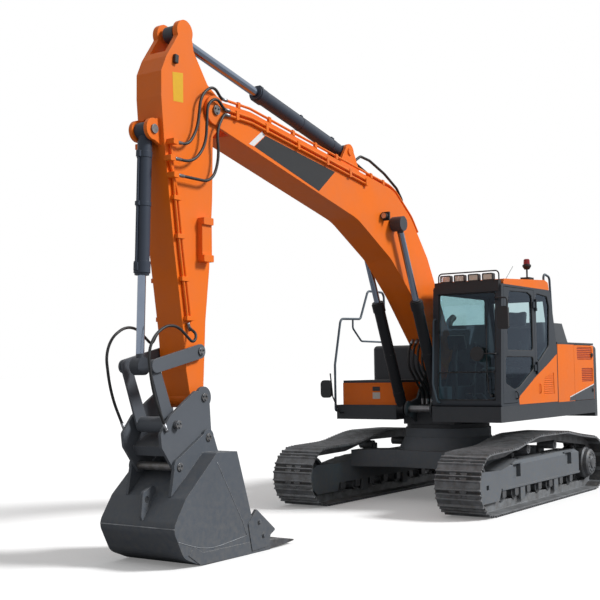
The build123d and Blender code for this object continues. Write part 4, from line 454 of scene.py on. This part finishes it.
# ---- Exhaust -----------------------------------------------------------------
# A steel pipe out of the engine bay. Heat and soot have left it brown-black, with
# little soil on it.
exhaust_steel = steel("heat_stained_exhaust_steel", "#4A4644", "#2F2C2B", 0.55, 2.0, 0.6, 0.2)
dress(exhaust_steel, "exhaust")


# ---- Hoses -------------------------------------------------------------------
# Black rubber hydraulic hose with a cloth-wrapped cover, 28 to 34 mm across, with
# crimped steel sleeves at both ends. Those that cross a joint ride on no body; their
# sleeves ride on the two bodies they join.
def widest(points):
    """The bend radii that use up half of every straight run of a route."""
    radii = []
    for before, corner, after in zip(points, points[1:], points[2:]):
        back = Vector(before) - Vector(corner)
        on = Vector(after) - Vector(corner)
        radii.append(0.49 * min(back.length, on.length) * math.tan(back.angle(on) / 2))
    return radii


def bend_route(points, radii, step=0.02):
    """The points of straight runs joined by arcs of these radii, about a step apart."""
    route = [Vector(points[0])]
    for before, corner, after, radius in zip(points, points[1:], points[2:], radii):
        corner = Vector(corner)
        back = (Vector(before) - corner).normalized()
        on = (Vector(after) - corner).normalized()
        half = back.angle(on) / 2
        reach = radius / math.tan(half)
        middle = corner + (back + on).normalized() * (radius / math.sin(half))
        first = corner + back * reach - middle
        last = corner + on * reach - middle
        count = max(2, math.ceil(first.angle(last) * radius / step))
        for i in range(count + 1):
            route.append(middle + radius * first.normalized().slerp(last.normalized(), i / count))
    route.append(Vector(points[-1]))
    fine = [route[0]]
    for point in route[1:]:
        parts = max(1, math.ceil((point - fine[-1]).length / (3 * step)))
        start = fine[-1].copy()
        for i in range(1, parts + 1):
            fine.append(start.lerp(point, i / parts))
    return fine


def sweep_tube(bm, route, radius, sides=12):
    """Add a closed round tube along these points to the mesh."""
    across = (route[1] - route[0]).normalized().orthogonal().normalized()
    rings = []
    for i, point in enumerate(route):
        ahead = (route[min(i + 1, len(route) - 1)] - route[max(i - 1, 0)]).normalized()
        across = (across - ahead * across.dot(ahead)).normalized()
        up = ahead.cross(across)
        ring = []
        for k in range(sides):
            turn = 2 * math.pi * k / sides
            ring.append(bm.verts.new(point + radius * (math.cos(turn) * across + math.sin(turn) * up)))
        rings.append(ring)
    for low, high in zip(rings, rings[1:]):
        for k in range(sides):
            bm.faces.new((low[k], low[(k + 1) % sides], high[(k + 1) % sides], high[k])).smooth = True
    bm.faces.new(reversed(rings[0]))
    bm.faces.new(rings[-1])


material, tree = new_material("rubber_hose_cover")
place = add(tree, "TexCoord")
# the wrap's print is 2.4 mm across, and the dull patches 70 mm
wrap = add(tree, "TexNoise", {"Vector": place.outputs["Object"], "Scale": 420.0, "Detail": 3.0})
dull = add(tree, "TexNoise", {"Vector": place.outputs["Object"], "Scale": 14.0, "Detail": 5.0})
shade = add(
    tree, "Mix", {0: dull.outputs["Fac"], 6: linear("#17181A"), 7: linear("#2B2C2E")}, data_type="RGBA"
)
rough = add(tree, "MapRange", {"Value": dull.outputs["Fac"], "To Min": 0.42, "To Max": 0.68})
skin = add(tree, "Bump", {"Height": wrap.outputs["Fac"], "Strength": 0.35, "Distance": 0.0006})
surface = add(
    tree,
    "BsdfPrincipled",
    {"Base Color": shade.outputs[2], "Roughness": rough.outputs[0], "Normal": skin.outputs[0]},
)
add(tree, "OutputMaterial", {"Surface": surface.outputs[0]})
hose_rubber = material
sleeve_steel = steel("zinc_plated_sleeve", "#9A9CA0", "#7C7D80", 0.32, 1.0, 0.85, 0.15)
dress(hose_rubber, "crowd_hoses")

# name, CAD node, the bodies it joins, radius, then the points of its hoses
FLEXES = [
    (
        "boom_hose_set",
        "boom_hoses",
        ("upper", "boom"),
        0.017,
        [
            [(0.56, y, 1.3103), (0.56, y, 1.48), (0.96, y, 1.85), (0.9139, y, 2.0918), (0.8002, y, 2.2046)]
            for y in (-0.105, -0.035, 0.035, 0.105)
        ],
    ),
    (
        "arm_hose_set",
        "arm_hoses",
        ("boom", "arm"),
        0.015,
        [
            [
                (5.2403, side * 0.18, 4.5925),
                (5.33, side * 0.18, 4.5937),
                (5.50, side * 0.22, 4.69),
                (5.70, side * 0.22, 4.56),
                (5.76, side * 0.22, 4.20),
                (5.90, side * 0.22, 4.013),
                (6.0787, side * 0.22, 4.013),
            ]
            for side in (1, -1)
        ]
        + [
            [
                (5.2403, 0.215, 4.4805),
                (5.33, 0.215, 4.4805),
                (5.47, 0.236, 4.57),
                (5.62, 0.236, 4.48),
                (5.65, 0.236, 4.05),
                (5.85, 0.236, 3.845),
                (6.1237, 0.236, 3.845),
            ],
            [
                (5.2403, 0.215, 4.4285),
                (5.33, 0.215, 4.4285),
                (5.48, 0.236, 4.23),
                (5.44, 0.236, 3.95),
                (5.56, 0.236, 3.689),
                (6.0737, 0.236, 3.689),
            ],
        ],
    ),
    (
        "coupler_hose_set",
        "coupler_hoses",
        ("arm", "bucket"),
        0.014,
        [
            [
                (5.8797, side * 0.18, 2.276),
                (5.864, side * 0.185, 2.225),
                (5.845, side * 0.2673, 2.165),
                (5.90, side * 0.2673, 2.07),
                (6.20, side * 0.2673, 2.29),
                (6.56, side * 0.2673, 2.08),
                (6.48, side * 0.2673, 1.60),
                (6.29, side * 0.2673, 1.25),
            ]
            for side in (1, -1)
        ],
    ),
]
for name, node, (near, far), radius, hoses in FLEXES:
    bm = bmesh.new()
    sleeves = {near: bmesh.new(), far: bmesh.new()}
    for points in hoses:
        route = bend_route(points, widest(points))
        sweep_tube(bm, route, radius)
        for body, (tip, inner) in ((near, points[:2]), (far, (points[-1], points[-2]))):
            tip = Vector(tip)
            along = (Vector(inner) - tip).normalized()
            # a round sleeve 85 mm long and, at its foot, a hexagon nut 26 mm long
            sweep_tube(sleeves[body], [tip, tip + along * 0.012, tip + along * 0.085], radius * 1.18, 12)
            sweep_tube(sleeves[body], [tip, tip + along * 0.014, tip + along * 0.026], radius * 1.25, 6)
    flex = piece(name, bm, hose_rubber, None)
    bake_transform(flex)
    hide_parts(node)
    for body, mesh in sleeves.items():
        piece(name + "_sleeves_" + body, mesh, sleeve_steel, body)


# ---- Cab glass ---------------------------------------------------------------
# Toughened safety glass, 6 mm thick, tinted blue-green. A thin film of dust varies the
# tint, and each pane mirrors once, where light enters it.
material, tree = new_material("tinted_safety_glass")
place = add(tree, "TexCoord")
film = add(tree, "TexNoise", {"Vector": place.outputs["Object"], "Scale": 4.0, "Detail": 5.0})
tint = add(
    tree, "Mix", {0: film.outputs["Fac"], 6: linear("#B4CFD2"), 7: linear("#C2D9DA")}, data_type="RGBA"
)
# tinted where light goes in, clear where it comes out again
side = add(tree, "NewGeometry")
colour = add(
    tree, "Mix", {0: side.outputs["Backfacing"], 6: tint.outputs[2], 7: linear("#FFFFFF")}, data_type="RGBA"
)
through = add(tree, "BsdfTransparent", {"Color": colour.outputs[2]})
shine = add(tree, "BsdfGlossy", {"Color": linear("#C4D6EE"), "Roughness": 0.03})
angle = add(tree, "Fresnel", {"IOR": 1.5})
front = add(tree, "Math", {0: 1.0, 1: side.outputs["Backfacing"]}, operation="SUBTRACT")
share = add(tree, "Math", {0: angle.outputs[0], 1: front.outputs[0]}, operation="MULTIPLY")
pane = add(tree, "MixShader", {0: share.outputs[0], 1: through.outputs[0], 2: shine.outputs[0]})
add(tree, "OutputMaterial", {"Surface": pane.outputs[0]})
safety_glass = material
dress(safety_glass, "cab_glass", "door_glass")


# ---- Window seals and wiper --------------------------------------------------
# Extruded black rubber, 18 mm across, round the panes of the door, the sides and the
# windscreen, and the wiper's arm, blade and spindle on the windscreen.
CAB_OUTER, CAB_INNER = 1.355, 0.385
SEAL_RADIUS = 0.009
SCREEN_FOOT_X, SCREEN_FOOT_Z, SCREEN_LEAN = 1.215, 1.3103, 0.065
SCREEN_ROWS = (1.396, 1.752, 2.774)


def ring_route(corners, radius):
    """A closed route round these corners, from the middle of its last side."""
    start = (Vector(corners[-1]) + Vector(corners[0])) / 2
    return bend_route([start, *corners, start], [radius] * len(corners))


def screen(y, z, out):
    """A point on the cab's leaning front, this far in front of it."""
    return (SCREEN_FOOT_X - SCREEN_LEAN * (z - SCREEN_FOOT_Z) + out, y, z)


UPPER_PANE = [(0.115, 2.770), (0.115, 2.025), (0.965, 2.025), (0.960, 2.350), (0.885, 2.800), (0.270, 2.815)]
LOWER_PANE = [(0.115, 1.950), (0.115, 1.775), (0.600, 1.545), (0.760, 1.515), (1.045, 1.600), (1.030, 1.950)]
QUARTER_PANE = [(-0.015, 2.815), (-0.015, 1.840), (-0.450, 2.090), (-0.500, 2.640), (-0.430, 2.790)]
RIGHT_PANE = [(1.020, 2.790), (1.055, 1.560), (0.100, 1.560), (-0.430, 1.900), (-0.480, 2.790)]
for name, body, y, panes in (
    ("door_seals", "cab_door", CAB_OUTER - 0.010, (UPPER_PANE, LOWER_PANE)),
    ("left_seal", "upper", CAB_OUTER - 0.010, (QUARTER_PANE,)),
    ("right_seal", "upper", CAB_INNER + 0.010, (RIGHT_PANE,)),
):
    bm = bmesh.new()
    for pane in panes:
        sweep_tube(bm, ring_route([(x, y, z) for x, z in pane], 0.05), SEAL_RADIUS, 8)
    piece(name, bm, hose_rubber, body)
bm = bmesh.new()
near, far = CAB_INNER + 0.082, CAB_OUTER - 0.082
for low, high in zip(SCREEN_ROWS, SCREEN_ROWS[1:]):
    corners = [screen(y, z, -0.012) for y, z in ((near, low), (far, low), (far, high), (near, high))]
    sweep_tube(bm, ring_route(corners, 0.04), SEAL_RADIUS, 8)
wiper = [screen(1.23, 1.45, 0.02), screen(1.20, 1.50, 0.035), screen(1.16, 2.05, 0.03)]
sweep_tube(bm, bend_route(wiper, [0.03]), 0.007, 8)
sweep_tube(bm, [Vector(screen(1.165, 1.62, 0.012)), Vector(screen(1.155, 2.45, 0.012))], 0.006, 8)
sweep_tube(bm, [Vector(screen(1.23, 1.45, -0.006)), Vector(screen(1.23, 1.45, 0.03))], 0.018, 12)
piece("screen_seals_and_wiper", bm, hose_rubber, "upper")


# ---- Moulded plastic ---------------------------------------------------------
# Grained black polypropylene, dull where hands and dust have been: lamp housings, mirror
# backs, consoles and, further on, handles and latches.
material, tree = new_material("grained_black_plastic")
place = add(tree, "TexCoord")
# a pebbled grain 1.6 mm across
pebble = add(tree, "TexVoronoi", {"Vector": place.outputs["Object"], "Scale": 620.0})
cloud = add(tree, "TexNoise", {"Vector": place.outputs["Object"], "Scale": 12.0, "Detail": 5.0})
shade = add(
    tree, "Mix", {0: cloud.outputs["Fac"], 6: linear("#1B1D20"), 7: linear("#2C2E32")}, data_type="RGBA"
)
rough = add(tree, "MapRange", {"Value": cloud.outputs["Fac"], "To Min": 0.38, "To Max": 0.60})
skin = add(tree, "Bump", {"Height": pebble.outputs["Distance"], "Strength": 0.25, "Distance": 0.0005})
surface = add(
    tree,
    "BsdfPrincipled",
    {"Base Color": shade.outputs[2], "Roughness": rough.outputs[0], "Normal": skin.outputs[0]},
)
add(tree, "OutputMaterial", {"Surface": surface.outputs[0]})
black_plastic = material
dress(black_plastic, "roof_lamps", "mirrors", "cab_console", "boom_lamps")


# ---- Lamp lenses -------------------------------------------------------------
# Four rectangular lamps over the windscreen and one round lamp on each side of the
# boom: ribbed clear lenses over warm reflectors.
material, tree = new_material("ribbed_lamp_lens")
place = add(tree, "TexCoord")
# ribs 11 mm apart
ribs = add(
    tree,
    "TexWave",
    {"Vector": place.outputs["Object"], "Scale": 28.0, "Distortion": 0.3},
    bands_direction="Y",
)
cloud = add(tree, "TexNoise", {"Vector": place.outputs["Object"], "Scale": 25.0, "Detail": 3.0})
shade = add(
    tree, "Mix", {0: cloud.outputs["Fac"], 6: linear("#B79E86"), 7: linear("#D8CBBE")}, data_type="RGBA"
)
skin = add(tree, "Bump", {"Height": ribs.outputs["Fac"], "Strength": 0.4, "Distance": 0.002})
surface = add(
    tree,
    "BsdfPrincipled",
    {
        "Base Color": shade.outputs[2],
        "Roughness": 0.12,
        "Metallic": 0.35,
        "Coat Weight": 0.8,
        "Coat Roughness": 0.03,
        "Normal": skin.outputs[0],
    },
)
add(tree, "OutputMaterial", {"Surface": surface.outputs[0]})
lamp_lens = material
bm = bmesh.new()
for y in (0.57, 0.77, 0.97, 1.17):
    prism(bm, plate((1.1135, y, 2.9763), (0, 0.062, 0), (0, 0, 0.035)), (0.006, 0, 0), 0.002)
piece("roof_lamp_lenses", bm, lamp_lens, "upper")
bm = bmesh.new()
for y in (-0.2403, 0.2403):
    disc(bm, (2.1425, y, 3.74), (1, 0, 0), 0.0375, 0.004)
piece("boom_lamp_lenses", bm, lamp_lens, "boom")


# ---- Beacon ------------------------------------------------------------------
# A glossy red dome over a dull black base and stalk. Both are one CAD node, so the
# finish changes at the height of the dome's foot.
DOME_FOOT = 3.2535
material, tree = new_material("beacon_dome_and_base")
place = add(tree, "TexCoord")
where = add(tree, "SeparateXYZ", {0: place.outputs["Object"]})
dome = add(tree, "Math", {0: where.outputs["Z"], 1: DOME_FOOT}, operation="GREATER_THAN")
cloud = add(tree, "TexNoise", {"Vector": place.outputs["Object"], "Scale": 40.0, "Detail": 3.0})
red = add(
    tree, "Mix", {0: cloud.outputs["Fac"], 6: linear("#7E1420"), 7: linear("#A3202B")}, data_type="RGBA"
)
shade = add(tree, "Mix", {0: dome.outputs[0], 6: linear("#1E1F22"), 7: red.outputs[2]}, data_type="RGBA")
rough = add(tree, "MapRange", {"Value": dome.outputs[0], "To Min": 0.5, "To Max": 0.08})
surface = add(tree, "BsdfPrincipled", {"Base Color": shade.outputs[2], "Roughness": rough.outputs[0]})
add(tree, "OutputMaterial", {"Surface": surface.outputs[0]})
dress(material, "beacon")


# ---- Mirror glass ------------------------------------------------------------
# Silvered panes on the sides that face the driver: one tall, one round and one on the
# right-hand post.
material, tree = new_material("silvered_mirror_glass")
place = add(tree, "TexCoord")
film = add(tree, "TexNoise", {"Vector": place.outputs["Object"], "Scale": 30.0, "Detail": 4.0})
rough = add(tree, "MapRange", {"Value": film.outputs["Fac"], "To Min": 0.01, "To Max": 0.08})
surface = add(
    tree, "BsdfPrincipled", {"Base Color": linear("#C9D2D6"), "Metallic": 1.0, "Roughness": rough.outputs[0]}
)
add(tree, "OutputMaterial", {"Surface": surface.outputs[0]})
bm = bmesh.new()
for x, y, z, wide, tall in ((1.2355, 1.430, 2.435, 0.062, 0.130), (0.9845, -1.400, 1.540, 0.070, 0.105)):
    prism(bm, plate((x, y, z), (0, wide, 0), (0, 0, tall)), (-0.002, 0, 0), 0.0008)
disc(bm, (1.2195, 1.055, 1.985), (-1, 0, 0), 0.084, 0.002, 32)
piece("mirror_panes", bm, material, "upper")


# ---- Handles, latches and caps -----------------------------------------------
# A pull on the door, the slot handle on the side cover, latches on the service doors
# and hood, and the tank's screw cap.
bm = bmesh.new()
pull = [(0.72, 1.350, 1.400), (0.72, 1.385, 1.405), (0.745, 1.385, 1.490), (0.745, 1.350, 1.495)]
sweep_tube(bm, bend_route(pull, [0.015, 0.015]), 0.008, 10)
piece("door_pull", bm, black_plastic, "cab_door")
bm = bmesh.new()
pull = [(-0.080, 1.353, 1.455), (-0.080, 1.372, 1.460), (-0.080, 1.372, 1.575), (-0.080, 1.353, 1.580)]
sweep_tube(bm, bend_route(pull, [0.012, 0.012]), 0.007, 10)
piece("cover_handle", bm, body_orange, "upper")
for side, body in ((1, "service_door_left"), (-1, "service_door_right")):
    bm = bmesh.new()
    for z in (1.45, 1.98):
        prism(bm, plate((-2.17, side * 1.3552, z), (0.03, 0, 0), (0, 0, 0.03)), (0, side * 0.008, 0), 0.003)
        disc(bm, (-2.17, side * 1.367, z), (0, side, 0), 0.014, 0.012, 18)
    piece(body + "_latches", bm, black_plastic, body)
bm = bmesh.new()
for y in (-0.35, 0.65):
    prism(bm, plate((-2.1095, y, 2.20), (0, 0.05, 0), (0, 0, 0.02)), (-0.006, 0, 0), 0.003)
piece("hood_latches", bm, black_plastic, "engine_hood")
bm = bmesh.new()
disc(bm, (-0.33, -0.70, 2.213), (0, 0, 1), 0.062, 0.016, 28)
for turn in range(0, 360, 30):
    angle = math.radians(turn)
    grip = (-0.33 + 0.058 * math.cos(angle), -0.70 + 0.058 * math.sin(angle), 2.213)
    disc(bm, grip, (0, 0, 1), 0.010, 0.022, 8)
piece("tank_cap_grip", bm, black_plastic, "upper")


# ---- Bare panels and stripes -------------------------------------------------
# Vinyl stuck on the paint, with nothing written on it: a dark panel and a white bar on
# the boom, slate wedges with a white top edge along the body, a yellow plate on the arm
# and two small plates on the storage box.
def vinyl(name, colour, second):
    """Glossy cast vinyl with a faint mottle and a few dull patches."""
    material, tree = new_material(name)
    place = add(tree, "TexCoord")
    cloud = add(tree, "TexNoise", {"Vector": place.outputs["Object"], "Scale": 22.0, "Detail": 5.0})
    shade = add(
        tree, "Mix", {0: cloud.outputs["Fac"], 6: linear(colour), 7: linear(second)}, data_type="RGBA"
    )
    rough = add(tree, "MapRange", {"Value": cloud.outputs["Fac"], "To Min": 0.28, "To Max": 0.50})
    surface = add(tree, "BsdfPrincipled", {"Base Color": shade.outputs[2], "Roughness": rough.outputs[0]})
    add(tree, "OutputMaterial", {"Surface": surface.outputs[0]})
    return material


dark_vinyl = vinyl("dark_vinyl", "#17191D", "#1F2226")
white_vinyl = vinyl("white_vinyl", "#E9EAEA", "#DCDDDD")
yellow_vinyl = vinyl("yellow_vinyl", "#E6B412", "#D9A50D")
grey_vinyl = vinyl("slate_vinyl", "#3B4046", "#454A50")
pale_vinyl = vinyl("pale_vinyl", "#CFC9C2", "#BDB6AE")
PANEL = [(4.790, 4.185), (4.585, 4.337), (3.201, 4.145), (3.552, 3.871)]
BAR = [(4.886, 4.199), (4.800, 4.187), (4.595, 4.340), (4.652, 4.375)]
STRIPE = [(-1.4215, 1.3994), (-2.235, 1.5330), (-2.235, 1.3170), (-1.4215, 1.3170)]
STRIPE_EDGE = [(-1.4215, 1.4134), (-2.235, 1.5470), (-2.235, 1.5335), (-1.4215, 1.3999)]
STRIPE_TIP = [(-1.218, 1.366), (-1.4145, 1.3982), (-1.4145, 1.3170), (-1.191, 1.3170)]
STRIPE_TIP_EDGE = [(-1.196, 1.376), (-1.4145, 1.4122), (-1.4145, 1.3987), (-1.218, 1.3665)]
ARM_PLATE = [(6.062, 4.715), (5.905, 4.735), (5.905, 4.440), (6.050, 4.430)]
for name, body, material, y, outline, mirrored in (
    ("boom_panel", "boom", dark_vinyl, 0.195, PANEL, True),
    ("boom_bar", "boom", white_vinyl, 0.195, BAR, True),
    ("stripe", "service_door", grey_vinyl, 1.355, STRIPE, True),
    ("stripe_edge", "service_door", white_vinyl, 1.355, STRIPE_EDGE, True),
    ("stripe_tip", "upper", grey_vinyl, 1.355, STRIPE_TIP, True),
    ("stripe_tip_edge", "upper", white_vinyl, 1.355, STRIPE_TIP_EDGE, True),
    ("arm_plate", "arm", yellow_vinyl, 0.160, ARM_PLATE, False),
):
    for side, end in ((1, "left"), (-1, "right")) if mirrored else ((1, "left"),):
        bm = bmesh.new()
        prism(bm, [(x, side * (y + 0.0004), z) for x, z in outline], (0, side * 0.0008, 0))
        carrier = body + "_" + end if body == "service_door" else body
        piece(name + "_" + end, bm, material, carrier)
for name, material, low, high in (
    ("storage_plate_top", dark_vinyl, 1.505, 1.565),
    ("storage_plate_low", pale_vinyl, 1.395, 1.485),
):
    bm = bmesh.new()
    corners = plate((0.7356, -0.74, (low + high) / 2), (0, 0.06, 0), (0, 0, (high - low) / 2))
    prism(bm, corners, (0.002, 0, 0), 0.0006)
    piece(name, bm, material, "upper")


# ---- Grille sheets -----------------------------------------------------------
# Perforated sheet behind the slats of the service doors, in a deeper orange that is partly
# painted shade of the recess. Its 6 mm holes on a 10 mm pitch are painted dark, as painted
# shade, and none is cut through.
material, tree = new_material("perforated_sheet_with_painted_shade")
place = add(tree, "TexCoord")
spread = add(tree, "Mapping", {"Vector": place.outputs["Object"], "Scale": (100.0, 0.0, 100.0)})
holes = add(tree, "TexVoronoi", {"Vector": spread.outputs[0], "Scale": 1.0, "Randomness": 0.0})
# painted shade: dark discs where the holes are, on a sheet whose deeper orange is partly painted shade
hole_shade = add(tree, "MapRange", {"Value": holes.outputs["Distance"], "From Min": 0.34, "From Max": 0.28})
shade = add(tree, "Mix", {0: hole_shade.outputs[0], 6: linear("#C4401C"), 7: linear("#2A1410")}, data_type="RGBA")
surface = add(tree, "BsdfPrincipled", {"Base Color": shade.outputs[2], "Roughness": 0.55})
add(tree, "OutputMaterial", {"Surface": surface.outputs[0]})
for side, body in ((1, "service_door_left"), (-1, "service_door_right")):
    bm = bmesh.new()
    for x, z, length, height in ((-1.860, 2.005, 0.636, 0.186), (-1.960, 1.685, 0.476, 0.196)):
        corners = plate((x, side * 1.3434, z), (length / 2, 0, 0), (0, 0, height / 2))
        prism(bm, corners, (0, side * 0.0016, 0))
    piece(body + "_sheets", bm, material, body)


# ---- Arm lamp and aerial -----------------------------------------------------
# A small black lamp high on the arm's left side, and the radio's whip, which leans
# back from its foot on the cab's roof.
bm = bmesh.new()
corners = [(x, 0.1602, z) for x, z in ((6.010, 4.800), (6.058, 4.806), (6.050, 4.892), (6.002, 4.886))]
prism(bm, corners, (0, 0.036, 0), 0.006)
piece("arm_lamp", bm, black_plastic, "arm")
bm = bmesh.new()
whip = [Vector((0.600, 1.20, 2.968)), Vector((0.594, 1.20, 2.989)), Vector((0.365, 1.20, 3.163))]
sweep_tube(bm, whip, 0.003, 8)
disc(bm, (0.600, 1.20, 2.974), (0, 0, 1), 0.018, 0.012, 16)
piece("aerial", bm, black_plastic, "upper")


# ---- Bolts -------------------------------------------------------------------
# Hexagon heads with washers, painted dark grey like the castings: on the pins' ends,
# the final drives and the bucket's side cutters.
PIN_ENDS = [  # body, x, z, distance from the middle, circle of bolts, their number and size
    ("boom", 5.440, 4.450, 0.215, 0.030, 3, 0.010),
    ("arm", 5.730, 2.000, 0.231, 0.024, 3, 0.010),
    ("bucket", 5.730, 1.552, 0.268, 0.024, 3, 0.010),
    ("bucket", 6.150, 1.306, 0.298, 0.024, 3, 0.010),
    ("bucket", 5.710, 1.165, 0.298, 0.024, 3, 0.010),
    ("bucket", 6.135, 0.912, 0.298, 0.024, 3, 0.010),
    ("undercarriage", -1.825, 0.394, 1.432, 0.130, 12, 0.014),
]
meshes = {}
for body, x, z, reach, circle, count, size in PIN_ENDS:
    bm = meshes.setdefault(body, bmesh.new())
    for side in (1, -1):
        for i in range(count):
            angle = 2 * math.pi * (i + 0.25) / count
            at = (x + circle * math.cos(angle), side * (reach + 0.005), z + circle * math.sin(angle))
            disc(bm, at, (0, side, 0), size, 0.011, 6)
            disc(bm, (at[0], side * (reach + 0.001), at[2]), (0, side, 0), size * 1.3, 0.003, 16)
for x, z in ((5.080, 0.160), (5.150, 0.300)):
    for side in (1, -1):
        disc(meshes["bucket"], (x, side * 0.481, z), (0, side, 0), 0.022, 0.016, 6)
        disc(meshes["bucket"], (x, side * 0.4745, z), (0, side, 0), 0.028, 0.004, 16)
for body, bm in meshes.items():
    piece("bolts_" + body, bm, link_grey, body)


# ---- Weld beads --------------------------------------------------------------
# On the bucket: one bead across its back, where two plates meet, and on each side the
# beads round the wear plate and along the thicker front of the side wall.
weld_steel = steel("ground_weld_bead", "#9B9FA4", "#74777B", 0.45, 2.0, 0.5, 0.3)
BACK = [(6.4185, -0.465, 0.378), (6.4185, 0.465, 0.378)]
LOW = [(6.375, 0.262), (6.209, 0.207), (6.024, 0.158), (5.847, 0.143), (5.618, 0.163), (5.350, 0.190)]
FRONT = [(5.803, 0.943), (5.610, 0.638), (5.413, 0.340), (5.350, 0.195)]
bm = bmesh.new()
sweep_tube(bm, bend_route(BACK, []), 0.006, 8)
for side in (1, -1):
    for bead in (LOW, FRONT):
        points = [(x, side * 0.4655, z) for x, z in bead]
        sweep_tube(bm, bend_route(points, widest(points)), 0.0035, 8)
piece("bucket_beads", bm, weld_steel, "bucket")


# ---- Rear of the counterweight -----------------------------------------------
# Two bent lifting eyes on its top and a red lamp on each side of its curved back, the
# lamps set round the swing axis.
LAMP_RADIUS, LAMP_HEIGHT, LAMP_TURN = 2.752, 1.42, 24
bm = bmesh.new()
for y in (-0.62, 0.62):
    loop = [(-2.40, y, 2.128), (-2.40, y, 2.215), (-2.52, y, 2.215), (-2.52, y, 2.128)]
    sweep_tube(bm, bend_route(loop, [0.045, 0.045]), 0.016, 12)
piece("lifting_eyes", bm, weight_grey, "upper")
lamp_red = vinyl("red_lamp_lens", "#8E1118", "#B01A22")
bm = bmesh.new()
for side in (1, -1):
    angle = math.radians(180 - side * LAMP_TURN)
    out = Vector((math.cos(angle), math.sin(angle), 0))
    disc(bm, out * LAMP_RADIUS + Vector((0, 0, LAMP_HEIGHT)), out, 0.055, 0.012, 28)
piece("rear_lamps", bm, lamp_red, "upper")


# ---- Monitor and floor mat ---------------------------------------------------
# The dark glass of the display, which leans towards the driver, and a plain rubber mat
# over the cab's floor.
bm = bmesh.new()
facing = Vector((-1, 0, 0.3)).normalized()
rise = Vector((0.3, 0, 1)).normalized()
middle = Vector((0.800, 0.550, 2.1456)) + facing * 0.046
prism(bm, plate(middle, (0, 0.105, 0), rise * 0.075), facing * 0.001)
piece("monitor_glass", bm, vinyl("display_glass", "#0F1A24", "#16242F"), "upper")
bm = bmesh.new()
prism(bm, plate((0.515, 0.87, 1.3661), (0.235, 0, 0), (0, 0.40, 0)), (0, 0, 0.008), 0.002)
piece("floor_mat", bm, hose_rubber, "upper")


# ---- Seat --------------------------------------------------------------------
# A suspension seat: a moulded base, then a cushion, a back and a headrest filled with
# foam, swollen by a short cloth simulation and covered in woven cloth.
material, tree = new_material("woven_seat_cloth")
place = add(tree, "TexCoord")
# threads 1.7 mm apart
warp = add(tree, "TexWave", {"Vector": place.outputs["Object"], "Scale": 190.0}, bands_direction="Y")
weft = add(tree, "TexWave", {"Vector": place.outputs["Object"], "Scale": 190.0}, bands_direction="Z")
weave = add(tree, "Math", {0: warp.outputs["Fac"], 1: weft.outputs["Fac"]}, operation="MULTIPLY")
cloud = add(tree, "TexNoise", {"Vector": place.outputs["Object"], "Scale": 9.0, "Detail": 5.0})
shade = add(
    tree, "Mix", {0: cloud.outputs["Fac"], 6: linear("#26282D"), 7: linear("#3A3E46")}, data_type="RGBA"
)
skin = add(tree, "Bump", {"Height": weave.outputs[0], "Strength": 0.4, "Distance": 0.001})
surface = add(
    tree,
    "BsdfPrincipled",
    {"Base Color": shade.outputs[2], "Roughness": 0.9, "Sheen Weight": 0.3, "Normal": skin.outputs[0]},
)
add(tree, "OutputMaterial", {"Surface": surface.outputs[0]})
seat_cloth = material
SEAT_Y, SEAT_Z = 0.87, 1.3656
MOST_SWELLING = 0.012
SQUAB = [(-0.235, 0.315), (-0.255, 0.425), (0.275, 0.435), (0.300, 0.39), (0.255, 0.315)]
BACKREST = [(-0.335, 0.450), (-0.500, 1.000), (-0.435, 1.020), (-0.215, 0.475)]
HEADREST = [(-0.525, 1.010), (-0.575, 1.215), (-0.500, 1.240), (-0.435, 1.030)]
bm = bmesh.new()
for low, high, wide, deep in ((0.0, 0.13, 0.20, 0.20), (0.13, 0.30, 0.16, 0.17)):
    corners = plate((-0.04, SEAT_Y, SEAT_Z + low), (deep, 0, 0), (0, wide, 0))
    prism(bm, corners, (0, 0, high - low), 0.018)
base = piece("seat_base", bm, black_plastic, "upper")
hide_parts("operator_seat")
# name, half its width, and its outline in x and height over the floor
for name, wide, outline in (
    ("seat_cushion", 0.235, SQUAB),
    ("seat_back", 0.225, BACKREST),
    ("seat_headrest", 0.135, HEADREST),
):
    bm = bmesh.new()
    prism(bm, [(x, SEAT_Y - wide, SEAT_Z + z) for x, z in outline], (0, 2 * wide, 0), 0.02)
    pad = piece(name, bm, seat_cloth, None)
    shape = pad.modifiers.new("shape", "REMESH")
    shape.mode = "VOXEL"
    shape.voxel_size = 0.012
    bpy.context.view_layer.update()
    pad.data = bpy.data.meshes.new_from_object(pad.evaluated_get(bpy.context.evaluated_depsgraph_get()))
    pad.modifiers.clear()
    rest = [vert.co.copy() for vert in pad.data.vertices]
    puff = pad.modifiers.new("puff", "CLOTH")
    puff.settings.use_pressure = True
    puff.settings.uniform_pressure_force = 4.0
    puff.settings.effector_weights.gravity = 0.0
    for step in range(1, 21):
        scene.frame_set(step)
    swollen = bpy.data.meshes.new_from_object(pad.evaluated_get(bpy.context.evaluated_depsgraph_get()))
    pad.modifiers.clear()
    for vert, moved, start in zip(pad.data.vertices, swollen.vertices, rest):
        shift = moved.co - start
        vert.co = start + shift * min(1.0, MOST_SWELLING / max(shift.length, 1e-6))
    bpy.data.meshes.remove(swollen)
    scene.frame_set(1)
    for face in pad.data.polygons:
        face.use_smooth = True
    smooth = pad.modifiers.new("smooth", "SUBSURF")
    smooth.levels = 1
    smooth.render_levels = 1
    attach(pad, "upper")
